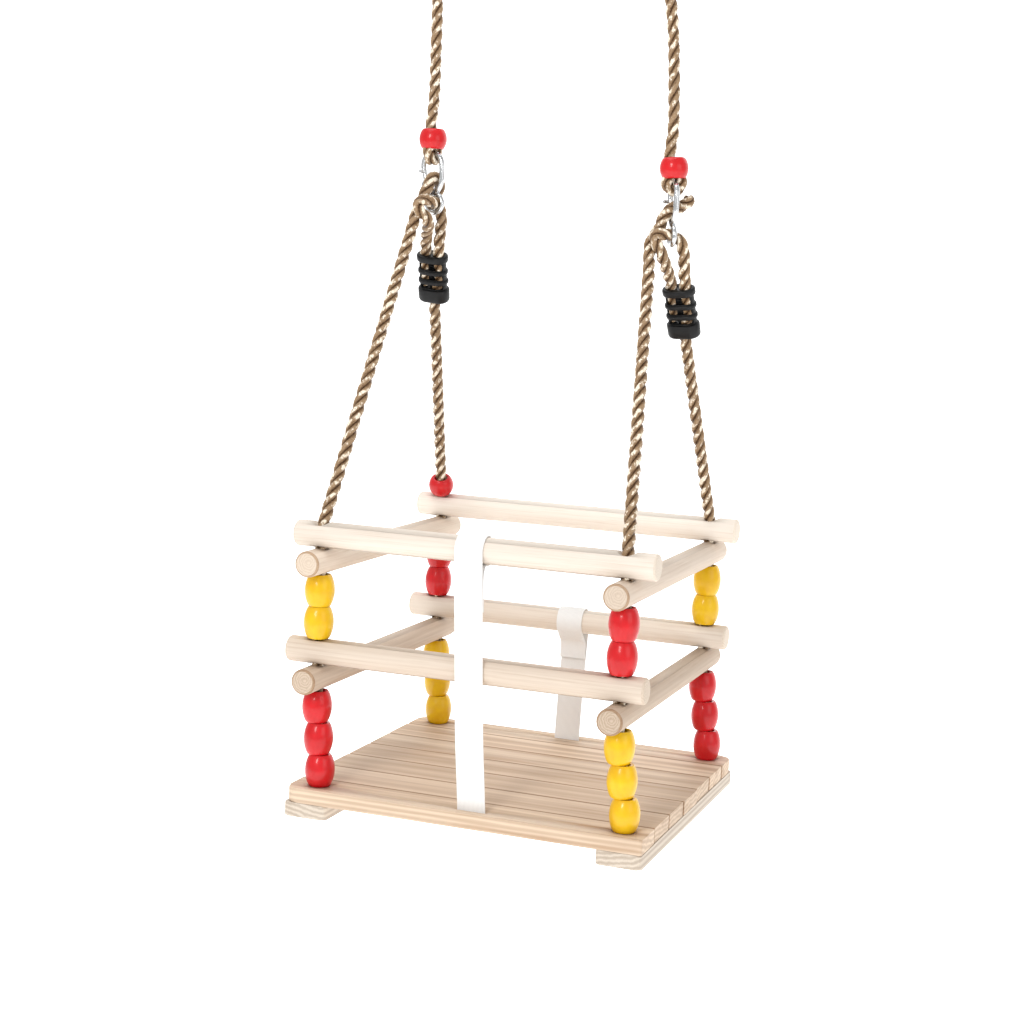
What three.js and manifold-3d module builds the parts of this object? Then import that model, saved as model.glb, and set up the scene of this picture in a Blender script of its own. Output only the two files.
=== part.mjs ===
// Toddler bucket swing: a slatted wooden seat inside two tiers of dowel rails, strung with
// painted beads on four corner ropes that meet at two snap hooks under two hanging ropes.
// Millimetres, +X to the right, +Y to the back, +Z up. The origin is the hanging point,
// midway between the tops of the two rings. The parts are first placed above the seat's top
// face, and the whole group is then lowered so that the rings reach the origin.

import * as THREE from 'three';
import { mergeVertices } from 'three/addons/utils/BufferGeometryUtils.js';
import Module from 'manifold-3d';

const wasm = await Module();
wasm.setup();

// ---- Driving dimensions ----
const GAP = 0.3;                 // clearance between pieces that rest on each other

const SEAT_WIDTH = 315;          // length of the slats, along X
const BOARD_SHIFT = -3;          // the boards lie this far off the middle between the ropes
const SLAT_PITCH = 44.5;         // from one groove between slats to the next
const SLAT_COUNT = 7;
const SEAT_DEPTH = 298;
const SLAT_THICKNESS = 12.5;
const SLAT_BEVEL = 1.2;
const SEAT_CORNER_RADIUS = 11;
const BATTEN_WIDTH = 38.5;
const BATTEN_THICKNESS = 12;
const KNOT_RECESS_RADIUS = 11.5;
const KNOT_RECESS_DEPTH = 8;

const RAIL_LENGTH = 315;
const RAIL_DIAMETER = 22;
const RAIL_CHAMFER = 1.8;
const SEAT_HOLE_SPACING = 271;   // between the seat's rope holes, left to right
const RAIL_HOLE_SPACING = 267;   // between the rope holes of a long rail
const HOLE_SPACING_Y = 261;      // between the rope holes, front to back
const HOLE_DIAMETER = 11;
const RAIL_MOUTH_RADIUS = 8.8;   // the upper rails' holes widen to this at the top

const BEAD_HEIGHT = 27;
const BEAD_DIAMETER = 25.4;
const BEAD_END_DIAMETER = 18;
const BEAD_BORE = 13.2;
const LOWER_BEADS = 3;
const UPPER_BEADS = 2;
const ROUND_BEAD_DIAMETER = 23.5;
const ROUND_BEAD_HEIGHT = 17;
const ROUND_BEAD_BORE = 12.4;
const LOOP_BEAD_BORE = 18.2;     // two strands of rope share this bore

const ROPE_DIAMETER = 8.6;
const LOOP_ROPE_DIAMETER = 7;    // where the rope is squeezed inside a bead and round a hook
const STRAND_OFFSET = 3.7;       // half the distance between two squeezed strands side by side

const HOOK_WIRE = 5;             // snap hook's wire diameter
const HOOK_HALF_WIDTH = 9.8;     // from the hook's middle to the wire's centre line
const HOOK_EYE_RADIUS = 7.9;
const HOOK_EYE_Z = -41;          // the small lower eye's centre, below the bearing point
const GATE_HINGE_Z = -24;
const RIVET_RADIUS = 1.3;
const KNOT_RADIUS = 10;

const RING_RADIUS = 22;          // to the wire's centre line
const RING_WIRE = 6;
const HANG_HEIGHT = 776;         // from the seat's top face to the inside top of the rings

const SEAT_SWAY = 9;             // the seat hangs this far to the right of the rings' middle
const RAIL_SLIP = -9;            // the rails hang this far to the left of the seat's holes

const RAIL_SHIFTS = { lower: -2, upper: 2 };  // a long rail's middle, from that of its holes
const STRAP_WIDTH = 24.5;
const STRAP_THICKNESS = 1.8;
const SLOT_LENGTH = 30;
const SLOT_WIDTH = 5;
const FRONT_SLOT_Y = -137.5;
const REAR_SLOT_Y = 134;

const ADJUSTER_WIDTH = 29;
const ADJUSTER_DEPTH = 18;
const ADJUSTER_HEIGHT = 46;
const CHANNEL_OFFSET = 6.2;      // the adjuster's two rope channels lie this far off its middle
const CHANNEL_DIAMETER = 10;

// Where each side's snap hook bears on its rope loop, the way it is turned about Z, and the
// middle of the rope adjuster below it. The left side is let out 20 mm further than the right.
const SIDES = {
  left: { ringX: -104, bearing: [-102.5, 0, 537], turn: -14, lean: 6, adjuster: [-110, 31, 432] },
  right: { ringX: 104, bearing: [117.5, 0, 517], turn: -59, lean: 2, adjuster: [121.5, 32, 412.5] },
};

const BEAD_COLOURS = {
  front_left: { upper: 'yellow', lower: 'red' },
  front_right: { upper: 'red', lower: 'yellow' },
  rear_left: { upper: 'red', lower: 'yellow' },
  rear_right: { upper: 'yellow', lower: 'red' },
};

const MATERIALS = {
  seatWood: { color: 0xd9bf9c, roughness: 0.7, metalness: 0 },
  railWood: { color: 0xf3e4cc, roughness: 0.65, metalness: 0 },
  red: { color: 0xd81f2a, roughness: 0.25, metalness: 0 },
  yellow: { color: 0xf5b50f, roughness: 0.25, metalness: 0 },
  rope: { color: 0xa5835a, roughness: 0.6, metalness: 0 },
  steel: { color: 0xc4c6c8, roughness: 0.3, metalness: 1 },
  plastic: { color: 0x1c1d1f, roughness: 0.45, metalness: 0 },
  webbing: { color: 0xf4f1ea, roughness: 0.85, metalness: 0 },
};

// ---- Heights above the seat's top face, worked out from the stack of beads and rails ----
const BEAD_PITCH = BEAD_HEIGHT + GAP;
const LEVELS = {};
LEVELS.lowerSide = GAP + LOWER_BEADS * BEAD_PITCH + RAIL_DIAMETER / 2;
LEVELS.lowerLong = LEVELS.lowerSide + RAIL_DIAMETER + GAP;
LEVELS.upperBeads = LEVELS.lowerLong + RAIL_DIAMETER / 2 + GAP;
LEVELS.upperSide = LEVELS.upperBeads + UPPER_BEADS * BEAD_PITCH + RAIL_DIAMETER / 2;
LEVELS.upperLong = LEVELS.upperSide + RAIL_DIAMETER + GAP;
LEVELS.railTop = LEVELS.upperLong + RAIL_DIAMETER / 2;
LEVELS.batten = -SLAT_THICKNESS - GAP;
LEVELS.under = LEVELS.batten - BATTEN_THICKNESS;
LEVELS.ring = HANG_HEIGHT - RING_RADIUS + RING_WIRE / 2;

const CORNERS = [
  { name: 'front_left', side: 'left', x: -1, y: -1 },
  { name: 'front_right', side: 'right', x: 1, y: -1 },
  { name: 'rear_left', side: 'left', x: -1, y: 1 },
  { name: 'rear_right', side: 'right', x: 1, y: 1 },
];
const seatHole = (corner) => [SEAT_SWAY + corner.x * SEAT_HOLE_SPACING / 2, corner.y * HOLE_SPACING_Y / 2];
const railHole = (corner) => [SEAT_SWAY + RAIL_SLIP + corner.x * RAIL_HOLE_SPACING / 2, corner.y * HOLE_SPACING_Y / 2];

const swing = new THREE.Group();
swing.position.z = -HANG_HEIGHT;

// ---- Helpers ----
function addMesh(name, geometry, material, parent = swing) {
  const mesh = new THREE.Mesh(geometry, new THREE.MeshStandardMaterial(MATERIALS[material]));
  mesh.name = name;
  parent.add(mesh);
  return mesh;
}

function toSolid(geometry) {
  const bare = geometry.clone();
  bare.deleteAttribute('normal');
  bare.deleteAttribute('uv');
  const merged = mergeVertices(bare, 1e-4);
  return new wasm.Manifold(new wasm.Mesh({
    numProp: 3,
    vertProperties: new Float32Array(merged.attributes.position.array),
    triVerts: new Uint32Array(merged.index.array),
  }));
}

function toGeometry(solid) {
  const mesh = solid.getMesh();
  const geometry = new THREE.BufferGeometry();
  geometry.setAttribute('position', new THREE.BufferAttribute(new Float32Array(mesh.vertProperties), 3));
  geometry.setIndex(new THREE.BufferAttribute(new Uint32Array(mesh.triVerts), 1));
  geometry.computeVertexNormals();
  return geometry;
}

function cut(geometry, tools) {
  return toGeometry(tools.reduce((solid, tool) => solid.subtract(toSolid(tool)), toSolid(geometry)));
}

function join(geometries) {
  return toGeometry(geometries.slice(1).reduce((solid, g) => solid.add(toSolid(g)), toSolid(geometries[0])));
}

// A cylinder between two points.
function rod(from, to, radius, sides = 16) {
  const start = new THREE.Vector3(...from);
  const end = new THREE.Vector3(...to);
  const length = start.distanceTo(end);
  const geometry = new THREE.CylinderGeometry(radius, radius, length, sides);
  const direction = end.clone().sub(start).normalize();
  geometry.applyQuaternion(new THREE.Quaternion().setFromUnitVectors(new THREE.Vector3(0, 1, 0), direction));
  const middle = start.add(end).multiplyScalar(0.5);
  return geometry.translate(middle.x, middle.y, middle.z);
}

// A curve whose samples are close together where its points are, and far apart on straights.
class Route extends THREE.CatmullRomCurve3 {
  getSpacedPoints(divisions) {
    return this.getPoints(divisions);
  }

  getTangentAt(u, target) {
    return this.getTangent(u, target);
  }
}

function tube(points, diameter, sides = 8, stepsPerPoint = 2) {
  const curve = new Route(points.map((p) => new THREE.Vector3(...p)), false, 'centripetal');
  const section = new THREE.Shape();
  section.absarc(0, 0, diameter / 2, 0, 2 * Math.PI, false);
  return new THREE.ExtrudeGeometry(section, {
    curveSegments: sides / 2,
    steps: stepsPerPoint * (points.length - 1),
    extrudePath: curve,
  });
}

// A turned solid about Z. The profile is a closed list of [radius, height].
function turned(profile, segments) {
  const geometry = new THREE.LatheGeometry(profile.map(([r, z]) => new THREE.Vector2(r, z)), segments);
  return geometry.rotateX(Math.PI / 2);
}

// ---- Seat: slats on two battens ----
function slatOutline(from, to, isFront, isRear) {
  const shape = new THREE.Shape();
  const half = SEAT_WIDTH / 2 - SLAT_BEVEL;
  const front = isFront ? SEAT_CORNER_RADIUS : 1.5;
  const rear = isRear ? SEAT_CORNER_RADIUS : 1.5;
  const low = from + SLAT_BEVEL;
  const high = to - SLAT_BEVEL;
  shape.moveTo(-half + front, low);
  shape.lineTo(half - 1.5, low);
  shape.lineTo(half, low + 1.5);
  shape.lineTo(half, high - rear);
  shape.absarc(half - rear, high - rear, rear, 0, Math.PI / 2, false);
  shape.lineTo(-half + rear, high);
  shape.absarc(-half + rear, high - rear, rear, Math.PI / 2, Math.PI, false);
  shape.lineTo(-half, low + front);
  shape.absarc(-half + front, low + front, front, Math.PI, 1.5 * Math.PI, false);
  return shape;
}

function slat(from, to, isFront, isRear) {
  const geometry = new THREE.ExtrudeGeometry(slatOutline(from, to, isFront, isRear), {
    depth: SLAT_THICKNESS - 2 * SLAT_BEVEL,
    bevelSize: SLAT_BEVEL,
    bevelThickness: SLAT_BEVEL,
    bevelSegments: 1,
    curveSegments: 4,
  });
  geometry.translate(SEAT_SWAY + BOARD_SHIFT, 0, SLAT_BEVEL - SLAT_THICKNESS);
  if (!isFront && !isRear) return geometry;
  const slotX = isFront ? strapX('front', 0) : strapX('rear', 0);
  const slotY = isFront ? FRONT_SLOT_Y : REAR_SLOT_Y;
  const slot = new THREE.BoxGeometry(SLOT_LENGTH, SLOT_WIDTH, 3 * SLAT_THICKNESS).translate(slotX, slotY, 0);
  const holes = CORNERS.filter((corner) => (corner.y < 0) === isFront).map((corner) => {
    const [x, y] = seatHole(corner);
    return rod([x, y, -30], [x, y, 10], HOLE_DIAMETER / 2);
  });
  return cut(geometry, [slot, ...holes]);
}

function addSeat() {
  const first = -SLAT_PITCH * (SLAT_COUNT - 2) / 2;
  for (let i = 0; i < SLAT_COUNT; i += 1) {
    const from = i === 0 ? -SEAT_DEPTH / 2 : first + (i - 1) * SLAT_PITCH;
    const to = i === SLAT_COUNT - 1 ? SEAT_DEPTH / 2 : first + i * SLAT_PITCH;
    const isRear = i === SLAT_COUNT - 1;
    addMesh(`seat_slat_${i + 1}`, slat(from + GAP / 2, to - GAP / 2, i === 0, isRear), 'seatWood');
  }
}

function batten(side) {
  const middle = SEAT_SWAY + BOARD_SHIFT + side * (SEAT_WIDTH / 2 - BATTEN_WIDTH / 2);
  const shape = new THREE.Shape();
  const w = BATTEN_WIDTH / 2 - SLAT_BEVEL;
  const d = SEAT_DEPTH / 2 - SLAT_BEVEL;
  shape.moveTo(-w, -d);
  shape.lineTo(w, -d);
  shape.lineTo(w, d);
  shape.lineTo(-w, d);
  const geometry = new THREE.ExtrudeGeometry(shape, {
    depth: BATTEN_THICKNESS - 2 * SLAT_BEVEL,
    bevelSize: SLAT_BEVEL,
    bevelThickness: SLAT_BEVEL,
    bevelSegments: 1,
  });
  geometry.translate(middle, 0, LEVELS.under + SLAT_BEVEL);
  const tools = CORNERS.filter((corner) => corner.x === side).flatMap((corner) => {
    const [x, y] = seatHole(corner);
    const recessTop = LEVELS.under + KNOT_RECESS_DEPTH;
    return [
      rod([x, y, LEVELS.under - 5], [x, y, 0], HOLE_DIAMETER / 2),
      rod([x, y, LEVELS.under - 5], [x, y, recessTop], KNOT_RECESS_RADIUS, 20),
    ];
  });
  return cut(geometry, tools);
}

// ---- Rails: chamfered dowels with a rope hole near each end ----
function rail(centre, alongX, shift, hasWideMouths) {
  const half = RAIL_LENGTH / 2;
  const r = RAIL_DIAMETER / 2;
  const profile = [[0, -half], [r - RAIL_CHAMFER, -half], [r, -half + RAIL_CHAMFER],
    [r, half - RAIL_CHAMFER], [r - RAIL_CHAMFER, half], [0, half]];
  const geometry = turned(profile, 20);
  const spacing = alongX ? RAIL_HOLE_SPACING : HOLE_SPACING_Y;
  if (alongX) geometry.rotateY(Math.PI / 2).translate(shift, 0, 0);
  else geometry.rotateX(Math.PI / 2);
  const holes = [-1, 1].map((end) => {
    const x = alongX ? end * spacing / 2 : 0;
    const y = alongX ? 0 : end * spacing / 2;
    return rod([x, y, -2 * r], [x, y, 2 * r], HOLE_DIAMETER / 2);
  });
  if (hasWideMouths) {
    // The ropes lean over where they leave the top rails, so these holes widen upwards.
    for (const end of [-1, 1]) {
      const mouth = new THREE.CylinderGeometry(RAIL_MOUTH_RADIUS, HOLE_DIAMETER / 2, r, 24);
      mouth.rotateX(Math.PI / 2).translate(end * spacing / 2, 0, r / 2 + 0.4);
      holes.push(mouth);
    }
  }
  return cut(geometry, holes).translate(...centre);
}

function addRails() {
  const middle = SEAT_SWAY + RAIL_SLIP;
  for (const tier of ['lower', 'upper']) {
    for (const [name, end] of [['front', -1], ['rear', 1]]) {
      const centre = [middle, end * HOLE_SPACING_Y / 2, LEVELS[`${tier}Long`]];
      addMesh(`${name}_${tier}_rail`, rail(centre, true, RAIL_SHIFTS[tier], tier === 'upper'), 'railWood');
    }
    for (const [name, end] of [['left', -1], ['right', 1]]) {
      const centre = [middle + end * RAIL_HOLE_SPACING / 2, 0, LEVELS[`${tier}Side`]];
      addMesh(`${name}_${tier}_rail`, rail(centre, false, 0, false), 'railWood');
    }
  }
}

// ---- Beads ----
// A barrel: its outline bulges as a cosine between its two flat ends.
function barrelProfile(diameter, endDiameter, height, bore, rows) {
  const points = [[bore / 2, 0]];
  for (let i = 0; i <= rows; i += 1) {
    const t = i / rows;
    const bulge = Math.sin(Math.PI * t) ** 0.75;
    points.push([endDiameter / 2 + (diameter - endDiameter) / 2 * bulge, height * t]);
  }
  points.push([bore / 2, height], [bore / 2, 0]);
  return points;
}

// A stack of upright beads that steps sideways from one hole towards the next.
function addBeadStack(corner, tier, fromX, toX, bottom, count) {
  const profile = barrelProfile(BEAD_DIAMETER, BEAD_END_DIAMETER, BEAD_HEIGHT, BEAD_BORE, 5);
  for (let i = 0; i < count; i += 1) {
    const x = fromX + (toX - fromX) * (i + 0.5) / count;
    const geometry = turned(profile, 14).translate(x, seatHole(corner)[1], bottom + i * BEAD_PITCH);
    addMesh(`${corner.name}_${tier}_bead_${i + 1}`, geometry, BEAD_COLOURS[corner.name][tier]);
  }
}

function addBeads() {
  for (const corner of CORNERS) {
    const [seatX] = seatHole(corner);
    const [railX] = railHole(corner);
    addBeadStack(corner, 'lower', seatX, railX, GAP, LOWER_BEADS);
    addBeadStack(corner, 'upper', railX, railX, LEVELS.upperBeads, UPPER_BEADS);
  }
}

function roundBead(bore) {
  return turned(barrelProfile(ROUND_BEAD_DIAMETER, 16.5 + (bore - ROUND_BEAD_BORE) * 0.65,
    ROUND_BEAD_HEIGHT, bore, 6), 16);
}

// ---- Snap hooks ----
// A hook is made standing in the XZ plane with its bearing point, the inside top of its wire,
// at its own origin. Its gate is on the -X side and its solid spine on the +X side.
function hookBody() {
  const lift = HOOK_WIRE / 2;
  const archZ = lift - HOOK_HALF_WIDTH;
  const nose = [-HOOK_HALF_WIDTH, 0, archZ - 3];
  const path = [nose];
  for (let i = 0; i <= 6; i += 1) {
    const angle = Math.PI * (1 - i / 6);
    path.push([HOOK_HALF_WIDTH * Math.cos(angle), 0, archZ + HOOK_HALF_WIDTH * Math.sin(angle)]);
  }
  path.push([HOOK_HALF_WIDTH - 0.4, 0, -16], [HOOK_HALF_WIDTH - 1.4, 0, -22]);
  path.push([5.4, 0, -28], [2.2, 0, -31.5], [0.6, 0, -33.5]);
  const arm = tube(path, HOOK_WIRE, 10);
  const stub = rod([-1, 0, -33.2], [-6.6, 0, GATE_HINGE_Z - 0.6], HOOK_WIRE / 2 - 0.2, 10);
  const rivetX = gateX(GATE_HINGE_Z);
  const lug = rod([rivetX, -1.2, GATE_HINGE_Z], [rivetX, 1.2, GATE_HINGE_Z], 2.4, 14);
  const rivet = rod([rivetX, -4.4, GATE_HINGE_Z], [rivetX, 4.4, GATE_HINGE_Z], RIVET_RADIUS, 12);
  const eye = new THREE.TorusGeometry(HOOK_EYE_RADIUS, HOOK_WIRE / 2 - 0.2, 8, 20);
  eye.rotateX(Math.PI / 2).translate(0, 0, HOOK_EYE_Z);
  return join([arm, stub, lug, rivet, eye]);
}

function gateX(z) {
  const lean = (z + 8) * -0.12;
  return -HOOK_HALF_WIDTH + lean;
}

// The gate is a channel that straddles the hook's lug on the rivet and shuts against the nose.
function hookGate() {
  const noseGap = 0.5;
  const top = HOOK_WIRE / 2 - HOOK_HALF_WIDTH - 3 - noseGap;
  const bar = rod([gateX(top), 0, top], [gateX(GATE_HINGE_Z) - 0.2, 0, GATE_HINGE_Z + 3.6], 2.2, 10);
  const cross = rod([gateX(top), -6.2, top - 1.8], [gateX(top), 6.2, top - 1.8], 1.6, 10);
  const cheeks = [-1, 1].map((side) => {
    const plate = new THREE.CylinderGeometry(2.6, 2.6, 1.2, 14);
    const arm = new THREE.BoxGeometry(4.2, 1.2, 5.5);
    arm.translate(gateX(GATE_HINGE_Z), side * 3.3, GATE_HINGE_Z + 2.7);
    plate.translate(gateX(GATE_HINGE_Z), side * 3.3, GATE_HINGE_Z);
    return [plate, arm];
  }).flat();
  const web = new THREE.BoxGeometry(4.2, 7.8, 1.8).translate(gateX(GATE_HINGE_Z), 0, GATE_HINGE_Z + 4.6);
  const hinge = gateX(GATE_HINGE_Z);
  const rivetHole = rod([hinge, -6, GATE_HINGE_Z], [hinge, 6, GATE_HINGE_Z], RIVET_RADIUS + 0.3, 12);
  return cut(join([bar, cross, web, ...cheeks]), [rivetHole]);
}

function hookFrame(side) {
  const { turn, lean, bearing } = SIDES[side];
  const frame = new THREE.Matrix4().makeRotationZ(THREE.MathUtils.degToRad(turn));
  frame.multiply(new THREE.Matrix4().makeRotationY(THREE.MathUtils.degToRad(-lean)));
  return frame.setPosition(...bearing);
}

function atHook(side, points) {
  return points.map((point) => new THREE.Vector3(...point).applyMatrix4(hookFrame(side)).toArray());
}

function addHooks() {
  for (const side of Object.keys(SIDES)) {
    const hook = new THREE.Group();
    hook.applyMatrix4(hookFrame(side));
    addMesh(`${side}_hook_body`, hookBody(), 'steel', hook);
    addMesh(`${side}_hook_gate`, hookGate(), 'steel', hook);
    swing.add(hook);
  }
}

// ---- Rope adjusters: a ribbed block with two channels for the rope ----
function adjusterFrame(side) {
  const centre = new THREE.Vector3(...SIDES[side].adjuster);
  const up = new THREE.Vector3(0.1, -0.433, 0.895);
  if (side === 'right') up.x = -0.06;
  up.normalize();
  const across = new THREE.Vector3(1, 0, 0).addScaledVector(up, -up.x).normalize();
  const back = new THREE.Vector3().crossVectors(up, across);
  return new THREE.Matrix4().makeBasis(across, back, up).setPosition(centre);
}

function atAdjuster(side, points) {
  return points.map((point) => new THREE.Vector3(...point).applyMatrix4(adjusterFrame(side)).toArray());
}

function adjuster() {
  const half = ADJUSTER_HEIGHT / 2;
  const radius = ADJUSTER_DEPTH / 2;
  const slice = (from, to, inset) => {
    const shape = new THREE.Shape();
    const w = ADJUSTER_WIDTH / 2 - radius;
    shape.absarc(w, 0, radius - inset, -Math.PI / 2, Math.PI / 2, false);
    shape.absarc(-w, 0, radius - inset, Math.PI / 2, 1.5 * Math.PI, false);
    return new THREE.ExtrudeGeometry(shape, {
      depth: to - from,
      bevelEnabled: false,
      curveSegments: 3,
    }).translate(0, 0, from);
  };
  const baseTop = -half + 13.5;
  const rimBottom = half - 6.5;
  const ribs = [-4.5, 5];
  const parts = [slice(-half, half, 2), slice(-half, baseTop, 0), slice(rimBottom, half, 0),
    ...ribs.map((z) => slice(z, z + 4, 0.6))];
  // Two channels from the top, which one hole in the base joins to the standing rope.
  const tools = [-1, 1].map((end) => {
    const x = end * CHANNEL_OFFSET;
    return rod([x, 0, -half + 14], [x, 0, half + 1], CHANNEL_DIAMETER / 2, 12);
  });
  tools.push(rod([0, 0, -half - 1], [0, 0, -half + 9], CHANNEL_DIAMETER / 2 + 0.3, 12));
  tools.push(rod([-0.6, 0, -half + 4], [CHANNEL_OFFSET + 0.4, 0, -half + 23], CHANNEL_DIAMETER / 2 + 0.4, 12));
  // Windows between the ribs, front and back.
  for (const [from, to] of [[baseTop, ribs[0]], [ribs[0] + 4, ribs[1]], [ribs[1] + 4, rimBottom]]) {
    for (const face of [-1, 1]) {
      const size = [2 * CHANNEL_OFFSET + 9.2, 5, to - from - 0.8];
      tools.push(new THREE.BoxGeometry(...size).translate(0, face * 6.3, (from + to) / 2));
    }
  }
  return cut(join(parts), tools);
}

function addAdjusters() {
  for (const side of Object.keys(SIDES)) {
    const holder = new THREE.Group();
    holder.applyMatrix4(adjusterFrame(side));
    addMesh(`${side}_rope_adjuster`, adjuster(), 'plastic', holder);
    swing.add(holder);
  }
}

// ---- Corner ropes ----
// From the recess under a batten up to the point where the rope leaves its top rail.
function ropeFoot(corner) {
  const [seatX, y] = seatHole(corner);
  const [railX] = railHole(corner);
  return [
    [seatX, y, LEVELS.under + KNOT_RECESS_DEPTH],
    [seatX, y, -8],
    [seatX, y, 0],
    [(seatX + railX) / 2, y, LEVELS.lowerSide / 2 - RAIL_DIAMETER / 4],
    [railX, y, LEVELS.lowerSide - RAIL_DIAMETER / 2],
    [railX, y, LEVELS.lowerLong],
    [railX, y, LEVELS.upperSide],
    [railX, y, LEVELS.upperLong - 6],
    [railX, y, LEVELS.upperLong + 2],
  ];
}

// Points on the straight line from the top rail's hole to a target.
function straightRun(corner, target) {
  const [railX, y] = railHole(corner);
  const from = new THREE.Vector3(railX, y, LEVELS.upperLong + 4);
  const to = new THREE.Vector3(...target);
  return [0.055, 0.1, 0.3, 0.5, 0.7, 0.9].map((t) => from.clone().lerp(to, t).toArray());
}

// The front ropes pass up through the hook, over its waist, and turn back behind it.
const FRONT_ROPE_ENDS = {
  left: [[-6.5, -16, -46], [-4.6, -11.6, -38], [-1.6, -8.4, -29], [0.2, -4.4, -21.2],
    [0.4, 0.4, -18.2], [0.9, 5.6, -20.2], [-0.6, 9.4, -24.6], [-4, 10.6, -29.6], [-8, 9.8, -33.6],
    [-10.5, 8.8, -38]],
  right: [[-6.5, -16, -46], [-4.6, -11.6, -38], [-1.6, -8.4, -29], [0.2, -4.4, -21.2],
    [0.4, 0.4, -18], [0.3, 5.8, -17.2], [0, 10.8, -14.4], [-0.5, 13.6, -10.6], [-0.6, 13.8, -7]],
};
// The rear ropes pass through the hook's eye and cross in front of the front rope.
const REAR_ROPE_TURNS = {
  left: [[-0.4, 9.6, -49], [0, 4.8, -43], [0.6, -0.6, -41.2], [3.4, -7, -40.6], [4, -13.6, -39.8],
    [1.8, -19.8, -40], [-1.4, -22.8, -42.8], [0.8, -22.6, -48.6], [3, -17.5, -54.2],
    [-0.5, -9.5, -59.5], [-11, 2, -64.5]],
  right: [[-0.4, 9.6, -49], [0, 4.8, -43], [0.6, -0.6, -41.2], [3.4, -7, -40.6], [5, -12, -40.4],
    [4.6, -15.8, -43], [3.8, -12.9, -50], [0.5, -8.5, -56.5], [-6, -3, -65]],
};

function frontRope(corner) {
  const end = atHook(corner.side, FRONT_ROPE_ENDS[corner.side]);
  return tube([...ropeFoot(corner), ...straightRun(corner, end[0]), ...end], ROPE_DIAMETER);
}

function rearRope(corner) {
  const half = ADJUSTER_HEIGHT / 2;
  const x = CHANNEL_OFFSET;
  const standing = atAdjuster(corner.side, [[0, 0, -half - 6], [0, 0, -half + 5], [x / 2, 0, -half + 13],
    [x, 0, -half + 21], [x, 0, half + 4]]);
  const tail = atAdjuster(corner.side, [[-x, 0, half + 4], [-x, 0, 0], [-x, 0, -half + 15]]);
  return tube([...ropeFoot(corner), ...straightRun(corner, standing[0]), ...standing,
    ...atHook(corner.side, REAR_ROPE_TURNS[corner.side]), ...tail], ROPE_DIAMETER);
}

function addCornerRopes() {
  const profile = [[0, 0], [KNOT_RADIUS - 3, 0], [KNOT_RADIUS, 3], [KNOT_RADIUS, 8],
    [KNOT_RADIUS - 2.5, 10.7], [0, 10.7]];
  for (const corner of CORNERS) {
    const rope = corner.y < 0 ? frontRope(corner) : rearRope(corner);
    addMesh(`${corner.name}_rope`, rope, 'rope');
    const knot = turned(profile, 16).translate(...seatHole(corner), LEVELS.under - 3);
    addMesh(`${corner.name}_seat_knot`, knot, 'rope');
  }
}

// ---- Hanging ropes, their round beads and the rings ----
// The rope's frame: its origin is the hook's bearing point, +Z runs up to the ring, and the
// loop round the hook's wire lies in the plane across the hook.
function hangingFrame(side) {
  const bearing = new THREE.Vector3(...SIDES[side].bearing);
  const up = new THREE.Vector3(SIDES[side].ringX, 0, LEVELS.ring - RING_RADIUS).sub(bearing).normalize();
  const turn = THREE.MathUtils.degToRad(SIDES[side].turn);
  const back = new THREE.Vector3(-Math.sin(turn), Math.cos(turn), 0);
  const across = new THREE.Vector3().crossVectors(back, up).normalize();
  return new THREE.Matrix4().makeBasis(across, back.crossVectors(up, across), up).setPosition(bearing);
}

function hangingRope(side) {
  const frame = hangingFrame(side);
  const place = (points) => points.map((p) => new THREE.Vector3(...p).applyMatrix4(frame).toArray());
  const wrap = HOOK_WIRE / 2 + GAP + LOOP_ROPE_DIAMETER / 2;
  const loop = [[0, -STRAND_OFFSET, 31], [0, -STRAND_OFFSET, 16], [0, -STRAND_OFFSET - 0.5, 9]];
  for (let i = 0; i <= 4; i += 1) {
    const angle = Math.PI * (1 + i / 4);
    loop.push([0, wrap * Math.cos(angle), HOOK_WIRE / 2 + wrap * Math.sin(angle)]);
  }
  loop.push([0, STRAND_OFFSET + 0.5, 9], [0, STRAND_OFFSET, 16], [0, STRAND_OFFSET, 24]);
  const knotZ = LEVELS.ring - RING_RADIUS - 34;
  const knot = [SIDES[side].ringX, 0, knotZ];
  const standing = [knot, ...place([[0, 0, 62], [0, -0.4, 48], [0, -2.2, 37], [0, -3.4, 28]])];
  const eye = [[0, -3.6, 0], [0, -6.4, 14], [0, -7.7, 27]];
  const ringWrap = RING_WIRE / 2 + GAP + ROPE_DIAMETER / 2;
  for (let i = 1; i <= 5; i += 1) {
    const angle = Math.PI * (1 - i / 6);
    eye.push([0, ringWrap * Math.cos(angle), 34 + ringWrap * Math.sin(angle)]);
  }
  eye.push([0, 7.7, 27], [0, 6.4, 14], [0, 3.6, 0]);
  const eyeTube = tube(eye, ROPE_DIAMETER).translate(...knot);
  const coil = turned([[0, -12], [8, -12], [10.5, -9], [10.5, 9], [8, 12], [0, 12]], 16).translate(...knot);
  return join([tube(standing, ROPE_DIAMETER), tube(place(loop), LOOP_ROPE_DIAMETER), eyeTube, coil]);
}

function addHangers() {
  for (const side of Object.keys(SIDES)) {
    const { ringX } = SIDES[side];
    addMesh(`${side}_hanging_rope`, hangingRope(side), 'rope');
    const loopBead = roundBead(LOOP_BEAD_BORE).translate(0, 0, HOOK_WIRE + 1);
    addMesh(`${side}_loop_bead`, loopBead.applyMatrix4(hangingFrame(side)), 'red');
    const ring = new THREE.TorusGeometry(RING_RADIUS, RING_WIRE / 2, 10, 36);
    addMesh(`${side}_ring`, ring.rotateX(Math.PI / 2).translate(ringX, 0, LEVELS.ring), 'steel');
  }
}

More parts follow.
